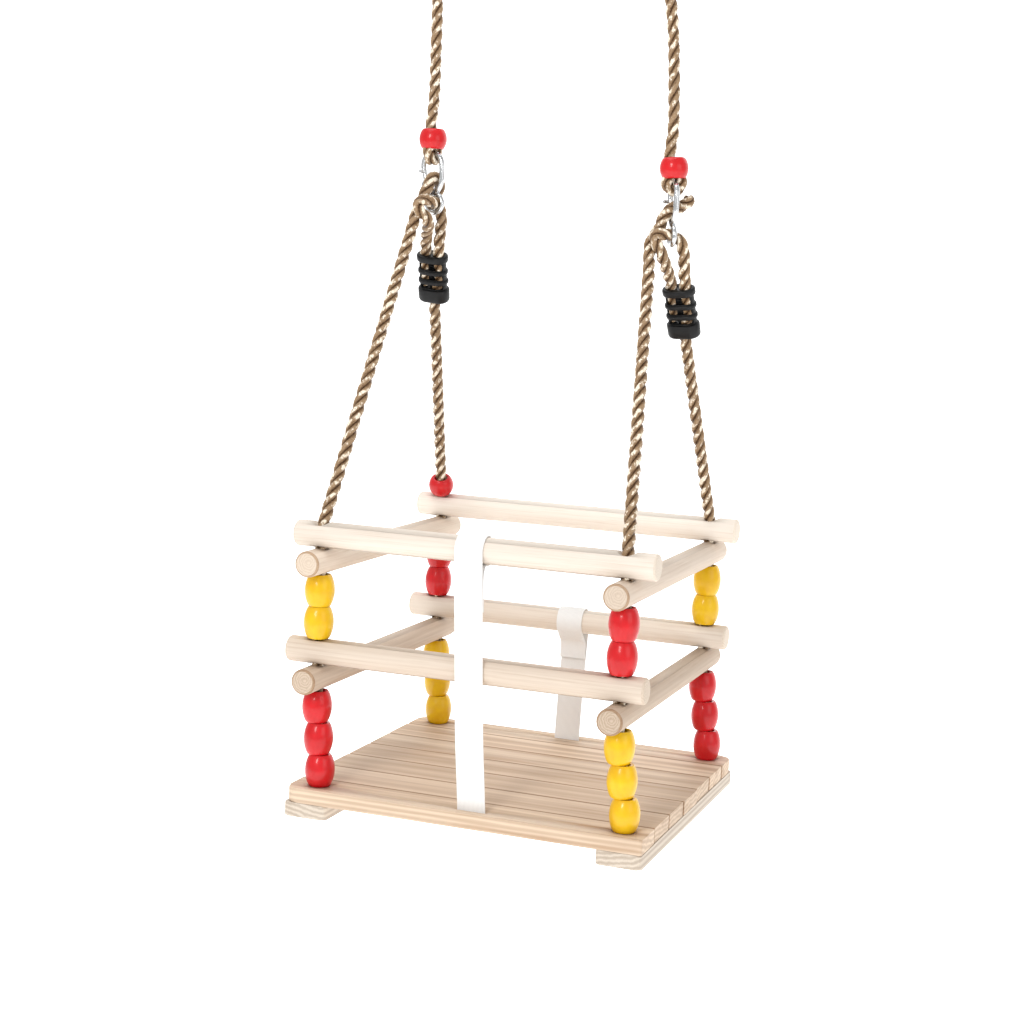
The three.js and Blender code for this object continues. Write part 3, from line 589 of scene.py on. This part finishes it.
def laid_rope(name, path, diameter, phase=0.0):
    """Three strands laid round a centre line."""
    points = even(path, 0.0018)
    frames = frames_along(points)
    radius = offset = diameter * 0.25
    sides = 12
    shell = Shell()
    step = length_of(points) / (len(points) - 1)
    for strand in range(3):
        rings, lengths = [], []
        for i, (p, (_, n, b)) in enumerate(zip(points, frames)):
            angle = phase + 2 * math.pi * (i * step / ROPE_PITCH + strand / 3)
            out = n * math.cos(angle) + b * math.sin(angle)
            side = b * math.cos(angle) - n * math.sin(angle)
            taper = 1 - 0.5 * max(0, 1 - i / 1.5, 1 - (len(points) - 1 - i) / 1.5)
            centre = p + out * offset
            rings.append([centre + (out * math.cos(a) * 0.94
                                    + side * math.sin(a) * 1.04) * radius * taper
                          for a in (2 * math.pi * k / sides for k in range(sides))])
            lengths.append(i * step + strand * 0.37)
        lengths.append(lengths[-1] + step)
        widths = [k / sides * 2 * math.pi * radius for k in range(sides + 1)]
        # crest is 1 on each strand's outward side and 0 where it faces the rope's middle; the
        # rope's material paints shade in the grooves and highlights on the crests from it.
        crest = [0.5 + 0.5 * math.cos(2 * math.pi * k / sides) for k in range(sides)]
        shell.rings(rings, False, lengths, widths, crest)
    return shell.object(name, ROPE, 180)


def rope_foot(corner):
    x, y = seat_hole(corner)
    r = rail_hole(corner)[0]
    foot = LOWER_SIDE - RAIL_RADIUS
    return [place(*p) for p in (
        (x, y, UNDER + 8), (x, y, -8), (x, y, 0), ((x + r) / 2, y, foot / 2), (r, y, foot),
        (r, y, LOWER_LONG), (r, y, UPPER_SIDE), (r, y, UPPER_LONG - 6), (r, y, UPPER_LONG + 2))]


def straight_run(corner, target):
    x, y = rail_hole(corner)
    start = place(x, y, UPPER_LONG + 4)
    return [start.lerp(target, t) for t in (0.055, 0.1, 0.3, 0.5, 0.7, 0.9)]


# In the hook's own frame, in millimetres.
FRONT_ROPE_ENDS = {
    "left": ((-6.5, -16, -46), (-4.6, -11.6, -38), (-1.6, -8.4, -29), (0.2, -4.4, -21.2),
             (0.4, 0.4, -18.2), (0.9, 5.6, -20.2), (-0.6, 9.4, -24.6), (-4, 10.6, -29.6),
             (-8, 9.8, -33.6), (-10.5, 8.8, -38)),
    "right": ((-6.5, -16, -46), (-4.6, -11.6, -38), (-1.6, -8.4, -29), (0.2, -4.4, -21.2),
              (0.4, 0.4, -18), (0.3, 5.8, -17.2), (0, 10.8, -14.4), (-0.5, 13.6, -10.6),
              (-0.6, 13.8, -7)),
}
REAR_ROPE_TURNS = {
    "left": ((-0.4, 9.6, -49), (0, 4.8, -43), (0.6, -0.6, -41.2), (3.4, -7, -40.6),
             (4, -13.6, -39.8), (1.8, -19.8, -40), (-1.4, -22.8, -42.8), (0.8, -22.6, -48.6),
             (3, -17.5, -54.2), (-0.5, -9.5, -59.5), (-11, 2, -64.5)),
    "right": ((-0.4, 9.6, -49), (0, 4.8, -43), (0.6, -0.6, -41.2), (3.4, -7, -40.6),
              (5, -12, -40.4), (4.6, -15.8, -43), (3.8, -12.9, -50), (0.5, -8.5, -56.5),
              (-6, -3, -65)),
}


def corner_route(corner):
    side, _, front, _, _ = CORNERS[corner]
    hook, adjuster = hook_frame(side), adjuster_frame(side)
    if front < 0:
        end = [hook @ Vector(p) for p in FRONT_ROPE_ENDS[side]]
        return rope_foot(corner) + straight_run(corner, end[0]) + end
    up = [adjuster @ Vector(p)
          for p in ((0, 0, -29), (0, 0, -18), (3.1, 0, -10), (6.2, 0, -2), (6.2, 0, 27))]
    down = [adjuster @ Vector(p) for p in ((-6.2, 0, 27), (-6.2, 0, 0), (-6.2, 0, -8))]
    wrap = [hook @ Vector(p) for p in REAR_ROPE_TURNS[side]]
    return rope_foot(corner) + straight_run(corner, up[0]) + up + wrap + down


def add_corner_ropes():
    for index, corner in enumerate(CORNERS):
        path = smooth(corner_route(corner))
        piece = laid_rope(corner + "_laid_rope", path, 0.0112, phase=index * 1.3)
        stand_for(piece, "seat", "rope", corner + "_rope")
        [tuple(p) for p in even(path, 0.005)]
        x, y = seat_hole(corner)
        turns = [place(x + 5.0 * math.cos(a), y + 5.0 * math.sin(a),
                       UNDER + 0.6 + 1.1 * a / math.pi)
                 for a in (k * math.pi / 8 for k in range(30))]
        knot = laid_rope(corner + "_stopper_knot", turns, 0.0088, phase=index)
        stand_for(knot, "seat", "rope", corner + "_seat_knot")


def hanging_route(side):
    """From the eye round the ring down to the loop round the hook's wire."""
    frame_of_rope = hanging_frame(side)
    wrap = 6.3
    loop = [(0, -1.2, 40), (0, -2.6, 33), (0, -3.7, 23), (0, -3.7, 15), (0, -4.2, 9)]
    loop += [(0, wrap * math.cos(a), 2.5 + wrap * math.sin(a))
             for a in (math.pi * (1 + i / 4) for i in range(5))]
    loop += [(0, 4.2, 9), (0, 3.7, 16), (0, 3.7, 24)]
    knot = Vector((SIDES[side]["ring"], 0, EYE_KNOT_Z))
    eye = [(0, 3.6, -8), (0, 4.6, 2), (0, 6.4, 14), (0, 7.7, 27)]
    eye += [(0, 7.6 * math.cos(a), 34 + 7.6 * math.sin(a))
            for a in (math.pi * i / 6 for i in range(1, 6))]
    eye += [(0, -7.7, 27), (0, -6.4, 14), (0, -4, 3), (0, -1.4, -8), (0, -0.2, -18)]
    top = [place(*(knot + Vector(p))) for p in eye]
    straight = [(0, 0, 120), (0, 0, 62), (0, -0.3, 50)]
    return top + [frame_of_rope @ Vector(p) for p in straight + loop]


def add_hanging_ropes():
    for side in SIDES:
        path = smooth(hanging_route(side))
        ring = SIDES[side]["ring"]
        piece = laid_rope(side + "_laid_hanging_rope", path, 0.0107, phase=0.6)
        stand_for(piece, "hanging_ropes", "rope", side + "_hanging_rope")
        [tuple(p) for p in even(path, 0.005)][::-1]
        turns = [place(ring + 6.8 * math.cos(a), 6.8 * math.sin(a),
                       EYE_KNOT_Z - 9.5 + 7.6 * a / (2 * math.pi))
                 for a in (k * math.pi / 10 for k in range(51))]
        seizing = laid_rope(side + "_eye_seizing", turns, 0.0084)
        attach(seizing, "hanging_ropes")


add_corner_ropes()
add_hanging_ropes()


# ---- Wooden rails, slats and battens ----
# The light and the dark colour of each rail's grain. Besides each rail's own tone, these hold
# painted light and shade: the upper rails are lighter than the lower ones, and the right rails
# darker than the left.
RAIL_TONES_AND_SHADE = {
    "front_upper_rail": ((0.79, 0.71, 0.62), (0.72, 0.63, 0.54)),
    "rear_upper_rail": ((0.88, 0.80, 0.71), (0.82, 0.73, 0.63)),
    "left_upper_rail": ((0.78, 0.67, 0.56), (0.66, 0.54, 0.43)),
    "right_upper_rail": ((0.70, 0.595, 0.495), (0.58, 0.47, 0.375)),
    "front_lower_rail": ((0.73, 0.63, 0.53), (0.62, 0.51, 0.41)),
    "rear_lower_rail": ((0.83, 0.74, 0.64), (0.73, 0.63, 0.53)),
    "left_lower_rail": ((0.68, 0.56, 0.45), (0.50, 0.385, 0.29)),
    "right_lower_rail": ((0.62, 0.505, 0.40), (0.45, 0.34, 0.25)),
}


def rail(name, centre, along, shift, index):
    """A drilled dowel; shift slides it along its length, but not its holes."""
    light, dark = RAIL_TONES_AND_SHADE[name]
    seed = (index * 1.37, index * 0.71, index * 2.13)
    material = wood("wood_" + name, along, light, dark, seed, 0.1)
    half, r, soft = HALF_WIDTH, RAIL_RADIUS, 2.4
    profile = [(0.0, -half)]
    for i in range(7):
        a = math.pi / 2 * i / 6
        profile.append((r - soft + soft * math.sin(a), -half + soft - soft * math.cos(a)))
    profile += [(radius, -z) for radius, z in reversed(profile)]
    middle = place(*centre)
    offset = place(centre[0] + shift, centre[1], centre[2])
    turn = Matrix.Rotation(math.pi / 2, 4, "Y" if along == "X" else "X")
    shell = Shell()
    shell.lathe(profile, Matrix.Translation(offset) @ turn @ Matrix.Scale(MM, 4), 64)
    obj = shell.object(name + "_dowel", material)
    reach = RAIL_HOLE_X if along == "X" else HOLE_Y
    cutters = []
    for end in (-1, 1):
        away = Vector((end * reach, 0, 0)) if along == "X" else Vector((0, end * reach, 0))
        low = place(*(Vector(centre) + away - Vector((0, 0, 20))))
        high = place(*(Vector(centre) + away + Vector((0, 0, 20))))
        cutters.append(rod("hole", low, high, HOLE_RADIUS * MM, material))
        if along == "X" and centre[2] == UPPER_LONG:
            mouth = place(*(Vector(centre) + away + Vector((0, 0, 0.4))))
            top = place(*(Vector(centre) + away + Vector((0, 0, 11.4))))
            cutters.append(rod("mouth", mouth, top, HOLE_RADIUS * MM, material, 8.6 * MM))
    cut(obj, cutters)
    heart = offset + Vector((0.002, -0.003, 0.002))
    rim = (0.92, 0.89, 0.85) if along == "X" else (0.64, 0.52, 0.41)
    for part, share in (("end_", (0.90, 0.88, 0.85)), ("rim_", rim)):
        tones = [tuple(v * q for v, q in zip(tone, share)) for tone in (light, dark)]
        obj.data.materials.append(end_grain(part + name, along, *tones, heart))
    axis = "XYZ".index(along)
    for polygon in obj.data.polygons:
        far = abs(polygon.center[axis] - offset[axis]) / MM
        radial = polygon.center - offset
        radial[axis] = 0
        if far > half - 0.15:
            polygon.material_index = 1
        elif far > half - 1.5 and radial.length > (r - soft) * MM:
            polygon.material_index = 2
    stand_for(obj, "seat", "rail_wood", name)


def add_rails():
    middle = SEAT_SWAY + RAIL_SLIP
    index = 0
    for tier, long_z, side_z in (("lower", LOWER_LONG, LOWER_SIDE),
                                 ("upper", UPPER_LONG, UPPER_SIDE)):
        for name, end in (("front", -1), ("rear", 1)):
            index += 1
            rail(f"{name}_{tier}_rail", (middle, end * HOLE_Y, long_z), "X",
                 RAIL_SHIFTS[tier], index)
        for name, end in (("left", -1), ("right", 1)):
            index += 1
            rail(f"{name}_{tier}_rail", (middle + end * RAIL_HOLE_X, 0, side_z), "Y", 0, index)


def plank(name, outline, bottom, top, material):
    """A flat board with softened edges from a corner-rounded outline."""
    bm = bmesh.new()
    low = [bm.verts.new(place(x, y, bottom)) for x, y in outline]
    high = [bm.verts.new(place(x, y, top)) for x, y in outline]
    bm.faces.new(low[::-1])
    bm.faces.new(high)
    for i in range(len(outline)):
        j = (i + 1) % len(outline)
        bm.faces.new((low[i], low[j], high[j], high[i]))
    rims = [e for e in bm.edges if abs(e.verts[0].co.z - e.verts[1].co.z) < 1e-7]
    bmesh.ops.bevel(bm, geom=rims, offset=1.5 * MM, segments=3, profile=0.6, affect="EDGES",
                    clamp_overlap=True)
    mesh = bpy.data.meshes.new(name)
    bm.to_mesh(mesh)
    bm.free()
    return finish_mesh(name, mesh, material)


def rounded(x0, x1, y0, y1, radii):
    """Corner radii in the order front left, front right, rear right, rear left."""
    corners = ((x0, y0, 180), (x1, y0, 270), (x1, y1, 0), (x0, y1, 90))
    steps, out = 6, []
    for (cx, cy, start), r in zip(corners, radii):
        mx = cx + r if cx == x0 else cx - r
        my = cy + r if cy == y0 else cy - r
        for i in range(steps + 1):
            a = math.radians(start + 90 * i / steps)
            out.append((mx + r * math.cos(a), my + r * math.sin(a)))
    return out


def strap_x(end, height):
    """The strap's middle, which drifts sideways on its way up."""
    low, high, top = {"front": (SEAT_SWAY + 5, SEAT_SWAY - 5.5, UPPER_LONG),
                      "rear": (SEAT_SWAY - 4.4, SEAT_SWAY - 3, LOWER_LONG)}[end]
    return low + (high - low) * min(max(height / top, 0), 1)


def add_seat():
    edges = [-HALF_DEPTH] + [-111.25 + 44.5 * i for i in range(6)] + [HALF_DEPTH]
    for i in range(7):
        y0, y1 = edges[i] + 0.15, edges[i + 1] - 0.15
        front, rear = (11 if i == 0 else 1.6), (11 if i == 6 else 1.6)
        left = SEAT_SWAY + BOARD_SHIFT - HALF_WIDTH + random.uniform(0, 0.9)
        right = SEAT_SWAY + BOARD_SHIFT + HALF_WIDTH - random.uniform(0, 1.2)
        tone = random.uniform(0.93, 1.05)
        light = tuple(v * tone for v in (0.73, 0.575, 0.43))
        dark = tuple(v * tone for v in (0.49, 0.345, 0.235))
        # Painted shade along the seams between slats; the seat's front and rear edges get none.
        shaded_seams = (y0 if i else -200, y1 if i < 6 else 200)
        shift = (i * 0.83, i * 3.1, i * 1.9)
        material = wood(f"wood_slat_{i + 1}", "X", light, dark, shift, 0.28, shaded_seams)
        outline = rounded(left, right, y0, y1, (front, 1.6, rear, rear))
        obj = plank(f"slat_{i + 1}", outline, -12.5, 0, material)
        if i in (0, 6):
            end, y = ("front", FRONT_SLOT_Y) if i == 0 else ("rear", REAR_SLOT_Y)
            x = strap_x(end, 0)
            opening = rounded(x - 15, x + 15, y - 2.5, y + 2.5, (2.4,) * 4)
            holes = [plank("slot", opening, -20, 8, material)]
            for corner, (_, _, row, _, _) in CORNERS.items():
                if (row < 0) == (i == 0):
                    hx, hy = seat_hole(corner)
                    holes.append(rod("hole", place(hx, hy, -30), place(hx, hy, 10),
                                     HOLE_RADIUS * MM, material))
            cut(obj, holes)
        stand_for(obj, "seat", "seat_wood", f"seat_slat_{i + 1}")
    for name, side in (("left_batten", -1), ("right_batten", 1)):
        middle = SEAT_SWAY + BOARD_SHIFT + side * 138.25
        material = wood("wood_" + name, "Y", (0.66, 0.575, 0.48), (0.46, 0.375, 0.295),
                        (side * 2.3, 1.1, side * 0.7), 0.45)
        outline = rounded(middle - 19.25, middle + 19.25, -HALF_DEPTH, HALF_DEPTH, (3.5,) * 4)
        obj = plank(name + "_board", outline, UNDER, -12.8, material)
        holes = []
        for corner, (_, sx, _, _, _) in CORNERS.items():
            if sx == side:
                hx, hy = seat_hole(corner)
                low = place(hx, hy, -40)
                holes.append(rod("hole", low, place(hx, hy, 0), HOLE_RADIUS * MM, material))
                holes.append(rod("recess", low, place(hx, hy, UNDER + 8), 11.5 * MM, material))
        cut(obj, holes)
        stand_for(obj, "seat", "seat_wood", name)


add_rails()
add_seat()


# ---- Beads ----
def bead_profile(diameter, end, height, bore, lip=1.0):
    """A closed outline of (radius, height) for a barrel with a rounded edge round its bore."""
    rows = 18
    points = [(bore / 2, lip * 0.6), (bore / 2 + lip * 0.4, 0.12), (bore / 2 + lip, 0.0)]
    for i in range(rows + 1):
        t = i / rows
        bulge = max(0.0, math.sin(math.pi * t)) ** 0.72
        points.append((end / 2 + (diameter - end) / 2 * bulge, height * t))
    points += [(bore / 2 + lip, height), (bore / 2 + lip * 0.4, height - 0.12),
               (bore / 2, height - lip * 0.6)]
    return points + [points[0]]


def add_beads():
    for corner, (_, _, _, upper, lower) in CORNERS.items():
        x, y = seat_hole(corner)
        rail_x = rail_hole(corner)[0]
        for tier, count, base, material in (("lower", 3, 0.3, lower),
                                            ("upper", 2, UPPER_BEADS, upper)):
            for i in range(count):
                bx = x + (rail_x - x) * (i + 0.5) / 3 if tier == "lower" else rail_x
                node = f"{corner}_{tier}_bead_{i + 1}"
                size = 25.4 - random.uniform(0, 0.5)
                shell = Shell()
                foot = place(bx, y, base + i * BEAD_PITCH)
                matrix = Matrix.Translation(foot) @ Matrix.Scale(MM, 4)
                shell.lathe(bead_profile(size, 17.8, 27, 12), matrix, 64)
                obj = shell.object(node + "_turned", material, 50)
                slot = "red_paint" if material is RED else "yellow_paint"
                stand_for(obj, node, slot, node)
    for side in SIDES:
        shell = Shell()
        matrix = hanging_frame(side) @ Matrix.Translation((0, 0, 6))
        shell.lathe(bead_profile(24.2, 17.8, 17.4, 16.6, 0.5), matrix, 64)
        obj = shell.object(side + "_loop_bead_turned", RED, 50)
        stand_for(obj, side + "_loop_bead", "red_paint", side + "_loop_bead")
    x, y = rail_hole("rear_left")
    along_rope = Vector((0.099, -0.418, 0.9)).normalized()
    lean = along_rope.to_track_quat("Z", "Y").to_matrix().to_4x4()
    base = place(x + 0.9, y - 3.8, UPPER_LONG + RAIL_RADIUS + 1.2)
    matrix = Matrix.Translation(base) @ lean @ Matrix.Scale(MM, 4)
    shell = Shell()
    shell.lathe(bead_profile(23.5, 16.5, 17, 12.4, 0.9), matrix, 64)
    obj = shell.object("loose_bead_turned", RED, 50)
    stand_for(obj, "loose_bead", "red_paint", "rear_left_loose_bead")


add_beads()


# ---- Snap hooks, gates and rings ----
def moved(matrix, points):
    return [matrix @ Vector(p) for p in points]


def gate_x(z):
    """The shut gate's x in the hook's frame, at a height."""
    return -9.8 + (z + 8) * -0.12


def add_hooks():
    for side in SIDES:
        matrix = hook_frame(side)
        shell = Shell()
        arch = [(9.8 * math.cos(a), 0, -7.3 + 9.8 * math.sin(a))
                for a in (math.pi * (1 - i / 8) for i in range(9))]
        arm = [(-9.8, 0, -10.3)] + arch
        arm += [(9.4, 0, -16), (8.4, 0, -22), (5.4, 0, -28), (2.2, 0, -31.5), (0.6, 0, -33.5)]
        shell.pipe(even(smooth(moved(matrix, arm)), 0.0009), 2.5 * MM, 20)
        stub = [(-1, 0, -33.2), (-6.6, 0, -24.6)]
        shell.pipe(even(moved(matrix, stub), 0.001), 2.3 * MM, 20)
        eye = [(7.9 * math.cos(a), 0, -41 + 7.9 * math.sin(a))
               for a in (2 * math.pi * i / 48 for i in range(48))]
        shell.pipe(moved(matrix, eye), 2.3 * MM, 20, closed=True)
        pivot, z = gate_x(GATE_PIVOT_Z), GATE_PIVOT_Z
        tongue, rivet = [(pivot, -1.2, z), (pivot, 1.2, z)], [(pivot, -4.4, z), (pivot, 4.4, z)]
        shell.pipe(moved(matrix, tongue), 2.4 * MM, 24, rounded=0)
        shell.pipe(moved(matrix, rivet), 1.3 * MM, 20, rounded=0.6)
        obj = shell.object(side + "_hook_wire", ZINC)
        stand_for(obj, "seat", "zinc", side + "_hook_body")
        gate = Shell()
        bar = [(gate_x(-10.8), 0, -10.8), (pivot - 0.2, 0, -20.4)]
        gate.pipe(even(moved(matrix, bar), 0.001), 2.2 * MM, 20, rounded=0.3)
        cross = [(gate_x(-12.6), -6.2, -12.6), (gate_x(-12.6), 6.2, -12.6)]
        gate.pipe(even(moved(matrix, cross), 0.001), 1.6 * MM, 16)
        for way in (-1, 1):
            cheek = [(pivot, way * 2.7, z), (pivot, way * 3.9, z)]
            gate.pipe(moved(matrix, cheek), 2.6 * MM, 28, rounded=0)
            strip = [(pivot, way * 3.3, z), (pivot - 0.1, way * 3.3, -21.6),
                     (pivot - 0.1, way * 2.4, -19.8), (pivot - 0.1, way * 1.2, -18.6)]
            gate.pipe(even(smooth(moved(matrix, strip)), 0.0006), 0.9 * MM, 12)
        obj = gate.object(side + "_gate_wire", ZINC)
        stand_for(obj, side + "_gate", "zinc", side + "_hook_gate")
        ring = Shell()
        x = SIDES[side]["ring"]
        loop = [place(x + RING_RADIUS * math.cos(a), 0, RING_Z + RING_RADIUS * math.sin(a))
                for a in (2 * math.pi * i / 96 for i in range(96))]
        ring.pipe(loop, 3 * MM, 24, closed=True)
        obj = ring.object(side + "_steel_ring", ZINC)
        stand_for(obj, "rings", "zinc", side + "_ring")


add_hooks()


# ---- Rope adjusters ----
def stadium(width, depth, inset):
    """An outline with straight sides and half-round ends, drawn in by the inset."""
    steps = 16
    r = depth / 2 - inset
    w = width / 2 - depth / 2
    right = [(w + r * math.cos(a), r * math.sin(a))
             for a in (math.pi * (k / steps - 0.5) for k in range(steps + 1))]
    return right + [(-x, -y) for x, y in right]


def block(matrix, low, high, material):
    bm = bmesh.new()
    corners = [bm.verts.new(matrix @ Vector((x, y, z))) for x in (low[0], high[0])
               for y in (low[1], high[1]) for z in (low[2], high[2])]
    for face in ((0, 1, 3, 2), (4, 6, 7, 5), (0, 4, 5, 1),
                 (2, 3, 7, 6), (0, 2, 6, 4), (1, 5, 7, 3)):
        bm.faces.new([corners[k] for k in face])
    mesh = bpy.data.meshes.new("block")
    bm.to_mesh(mesh)
    bm.free()
    return finish_mesh("block", mesh, material)


def add_adjusters():
    ribs = (-4.5, 5)
    channel = 6.2
    for side in SIDES:
        matrix = adjuster_frame(side)
        shell = Shell()
        levels = [(-23, 3.4), (-22.6, 2.0), (-21.6, 0.8), (-20, 0.15), (-11, 0), (-10, 0.4),
                  (-9.5, 2.0)]
        for z in ribs:
            levels += [(z, 1.9), (z + 0.4, 0.9), (z + 1.2, 0.6), (z + 2.8, 0.6), (z + 3.6, 0.9),
                       (z + 4, 1.9)]
        levels += [(16.5, 2.0), (16.9, 0.6), (17.8, 0.1), (21.6, 0), (22.6, 0.5), (23, 1.5)]
        shell.rings([[matrix @ Vector((x, y, z)) for x, y in stadium(29, 18, inset)]
                     for z, inset in levels])
        obj = shell.object(side + "_adjuster_cage", PLASTIC, 50)

        def bore(a, b, radius):
            return rod("channel", matrix @ Vector(a), matrix @ Vector(b), radius * MM, PLASTIC)

        cutters = [bore((x, 0, -9), (x, 0, 30), 5.2) for x in (-channel, channel)]
        cutters += [bore((0, 0, -30), (0, 0, -14), 5.4), bore((-0.6, 0, -19), (6.6, 0, 0), 5.5)]
        for low, high in ((-9.5, ribs[0]), (ribs[0] + 4, ribs[1]), (ribs[1] + 4, 16.5)):
            for face in (-1, 1):
                ends = sorted((face * 3.8, face * 9))
                near, far = (-10.8, ends[0], low + 0.4), (10.8, ends[1], high - 0.4)
                cutters.append(block(matrix, near, far, PLASTIC))
        cut(obj, cutters)
        stand_for(obj, "seat", "black_plastic", side + "_rope_adjuster")


add_adjusters()


# ---- Crotch strap ----
def arc(y, z, radius, start, stop, steps):
    """Points of (y, z) round a centre, from one angle in degrees to another."""
    return [(y + radius * math.cos(a), z + radius * math.sin(a))
            for a in (math.radians(start + (stop - start) * i / steps) for i in range(steps + 1))]


def add_strap():
    wrap, rail_y, low = 12.2, HOLE_Y, -13.7
    front = [(-rail_y - wrap + 2.2, 166), (-rail_y - wrap + 2.2, 190), (-rail_y - wrap + 4.4, 199)]
    front += arc(-rail_y, UPPER_LONG, wrap, -110, 180, 24)
    front += [(-rail_y - wrap, 160), (-rail_y - wrap, 110), (-rail_y - wrap + 1, 60),
              (FRONT_SLOT_Y - 0.8, 14), (FRONT_SLOT_Y, 0), (FRONT_SLOT_Y, low + 4)]
    under = arc(FRONT_SLOT_Y + 3, low + 3, 3, 200, 270, 5)
    under += [(-60, low), (0, low), (60, low)] + arc(REAR_SLOT_Y - 3, low + 3, 3, 270, 340, 5)
    rear = [(REAR_SLOT_Y, low + 4), (REAR_SLOT_Y, 0), (REAR_SLOT_Y + 1, 25),
            (rail_y + 8, 70), (rail_y + wrap - 1, 98)]
    rear += arc(rail_y, LOWER_LONG, wrap, 0, 235, 20)
    rear += [(rail_y - 1.2, 99.6), (rail_y + 3.4, 95), (rail_y + 5, 88), (rail_y + 4.6, 79)]
    path = []
    for y, z in front:
        path.append(place(strap_x("front", z), y, z))
    for y, z in under:
        t = (y - FRONT_SLOT_Y) / (REAR_SLOT_Y - FRONT_SLOT_Y)
        path.append(place(strap_x("front", 0) * (1 - t) + strap_x("rear", 0) * t, y, z))
    for y, z in rear:
        path.append(place(strap_x("rear", z), y, z))
    step = 0.0016
    path = even(smooth(path, 6), step)
    shell = Shell()
    half, thick, across = 12.2 * MM, 0.85 * MM, 26 * MM
    rings, lengths = [], []
    for i, p in enumerate(path):
        along = path[min(i + 1, len(path) - 1)] - path[max(i - 1, 0)]
        normal = Vector((0, -along.z, along.y)).normalized()
        ring = []
        for face, order in ((-1, range(12)), (1, range(11, -1, -1))):
            for k in order:
                edge = 0.55 if k in (0, 11) else 1.0
                sideways = Vector((half * (-1 + 2 * k / 11), 0, 0))
                ring.append(p + sideways + normal * thick * edge * face)
        rings.append(ring)
        lengths.append(i * step)
    lengths.append(lengths[-1] + step)
    widths = [across * k / 11 for k in range(12)]
    widths = widths + [across + 0.001 + across * k / 11 for k in range(12)] + [0.054]
    shell.rings(rings, False, lengths, widths)
    obj = shell.object("strap_webbing", WEBBING, 60)
    stand_for(obj, "seat", "webbing", "crotch_strap")


add_strap()


# ---- Floor, backdrop and light ----
def add_stage():
    """A white sweep behind and below the swing."""
    material, _, _, shader = tree_of("backdrop")
    shader.inputs["Base Color"].default_value = (0.92, 0.92, 0.92, 1)
    shader.inputs["Roughness"].default_value = 0.9
    shader.inputs["Emission Color"].default_value = (1, 1, 1, 1)
    shader.inputs["Emission Strength"].default_value = 0.75
    outline = [(-3.0, -1.35)] + [(2.4 + 1.2 * math.sin(a), -0.15 - 1.2 * math.cos(a))
                                 for a in (math.pi / 2 * i / 16 for i in range(17))] + [(3.6, 4.0)]
    verts = [(x, y, z) for y, z in outline for x in (-5, 5)]
    faces = [(2 * i, 2 * i + 1, 2 * i + 3, 2 * i + 2) for i in range(len(outline) - 1)]
    mesh = bpy.data.meshes.new("backdrop")
    mesh.from_pydata(verts, [], faces)
    for polygon in mesh.polygons:
        polygon.use_smooth = True
    mesh.materials.append(material)
    obj = bpy.data.objects.new("backdrop", mesh)
    bpy.context.collection.objects.link(obj)


def add_light(name, location, target, size, energy):
    data = bpy.data.lights.new(name, "AREA")
    data.shape = "RECTANGLE"
    data.size, data.size_y = size
    data.energy = energy
    obj = bpy.data.objects.new(name, data)
    obj.location = location
    obj.rotation_euler = (Vector(target) - Vector(location)).to_track_quat("-Z", "Y").to_euler()
    bpy.context.collection.objects.link(obj)


add_stage()
add_light("key", (-0.35, -3.25, 0.95), (0, 0, -0.5), (0.8, 1.3), 46)
add_light("fill", (2.1, -1.2, 0.1), (0, 0, -0.5), (1.4, 1.4), 8)
add_light("top", (-0.3, -0.2, 1.3), (0, 0, -0.5), (1.4, 1.4), 14)
world = bpy.data.worlds.new("world")
world.use_nodes = True
world.node_tree.nodes["Background"].inputs["Color"].default_value = (1, 1, 1, 1)
world.node_tree.nodes["Background"].inputs["Strength"].default_value = 0.6
bpy.context.scene.world = world
bpy.context.scene.view_settings.view_transform = "Standard"
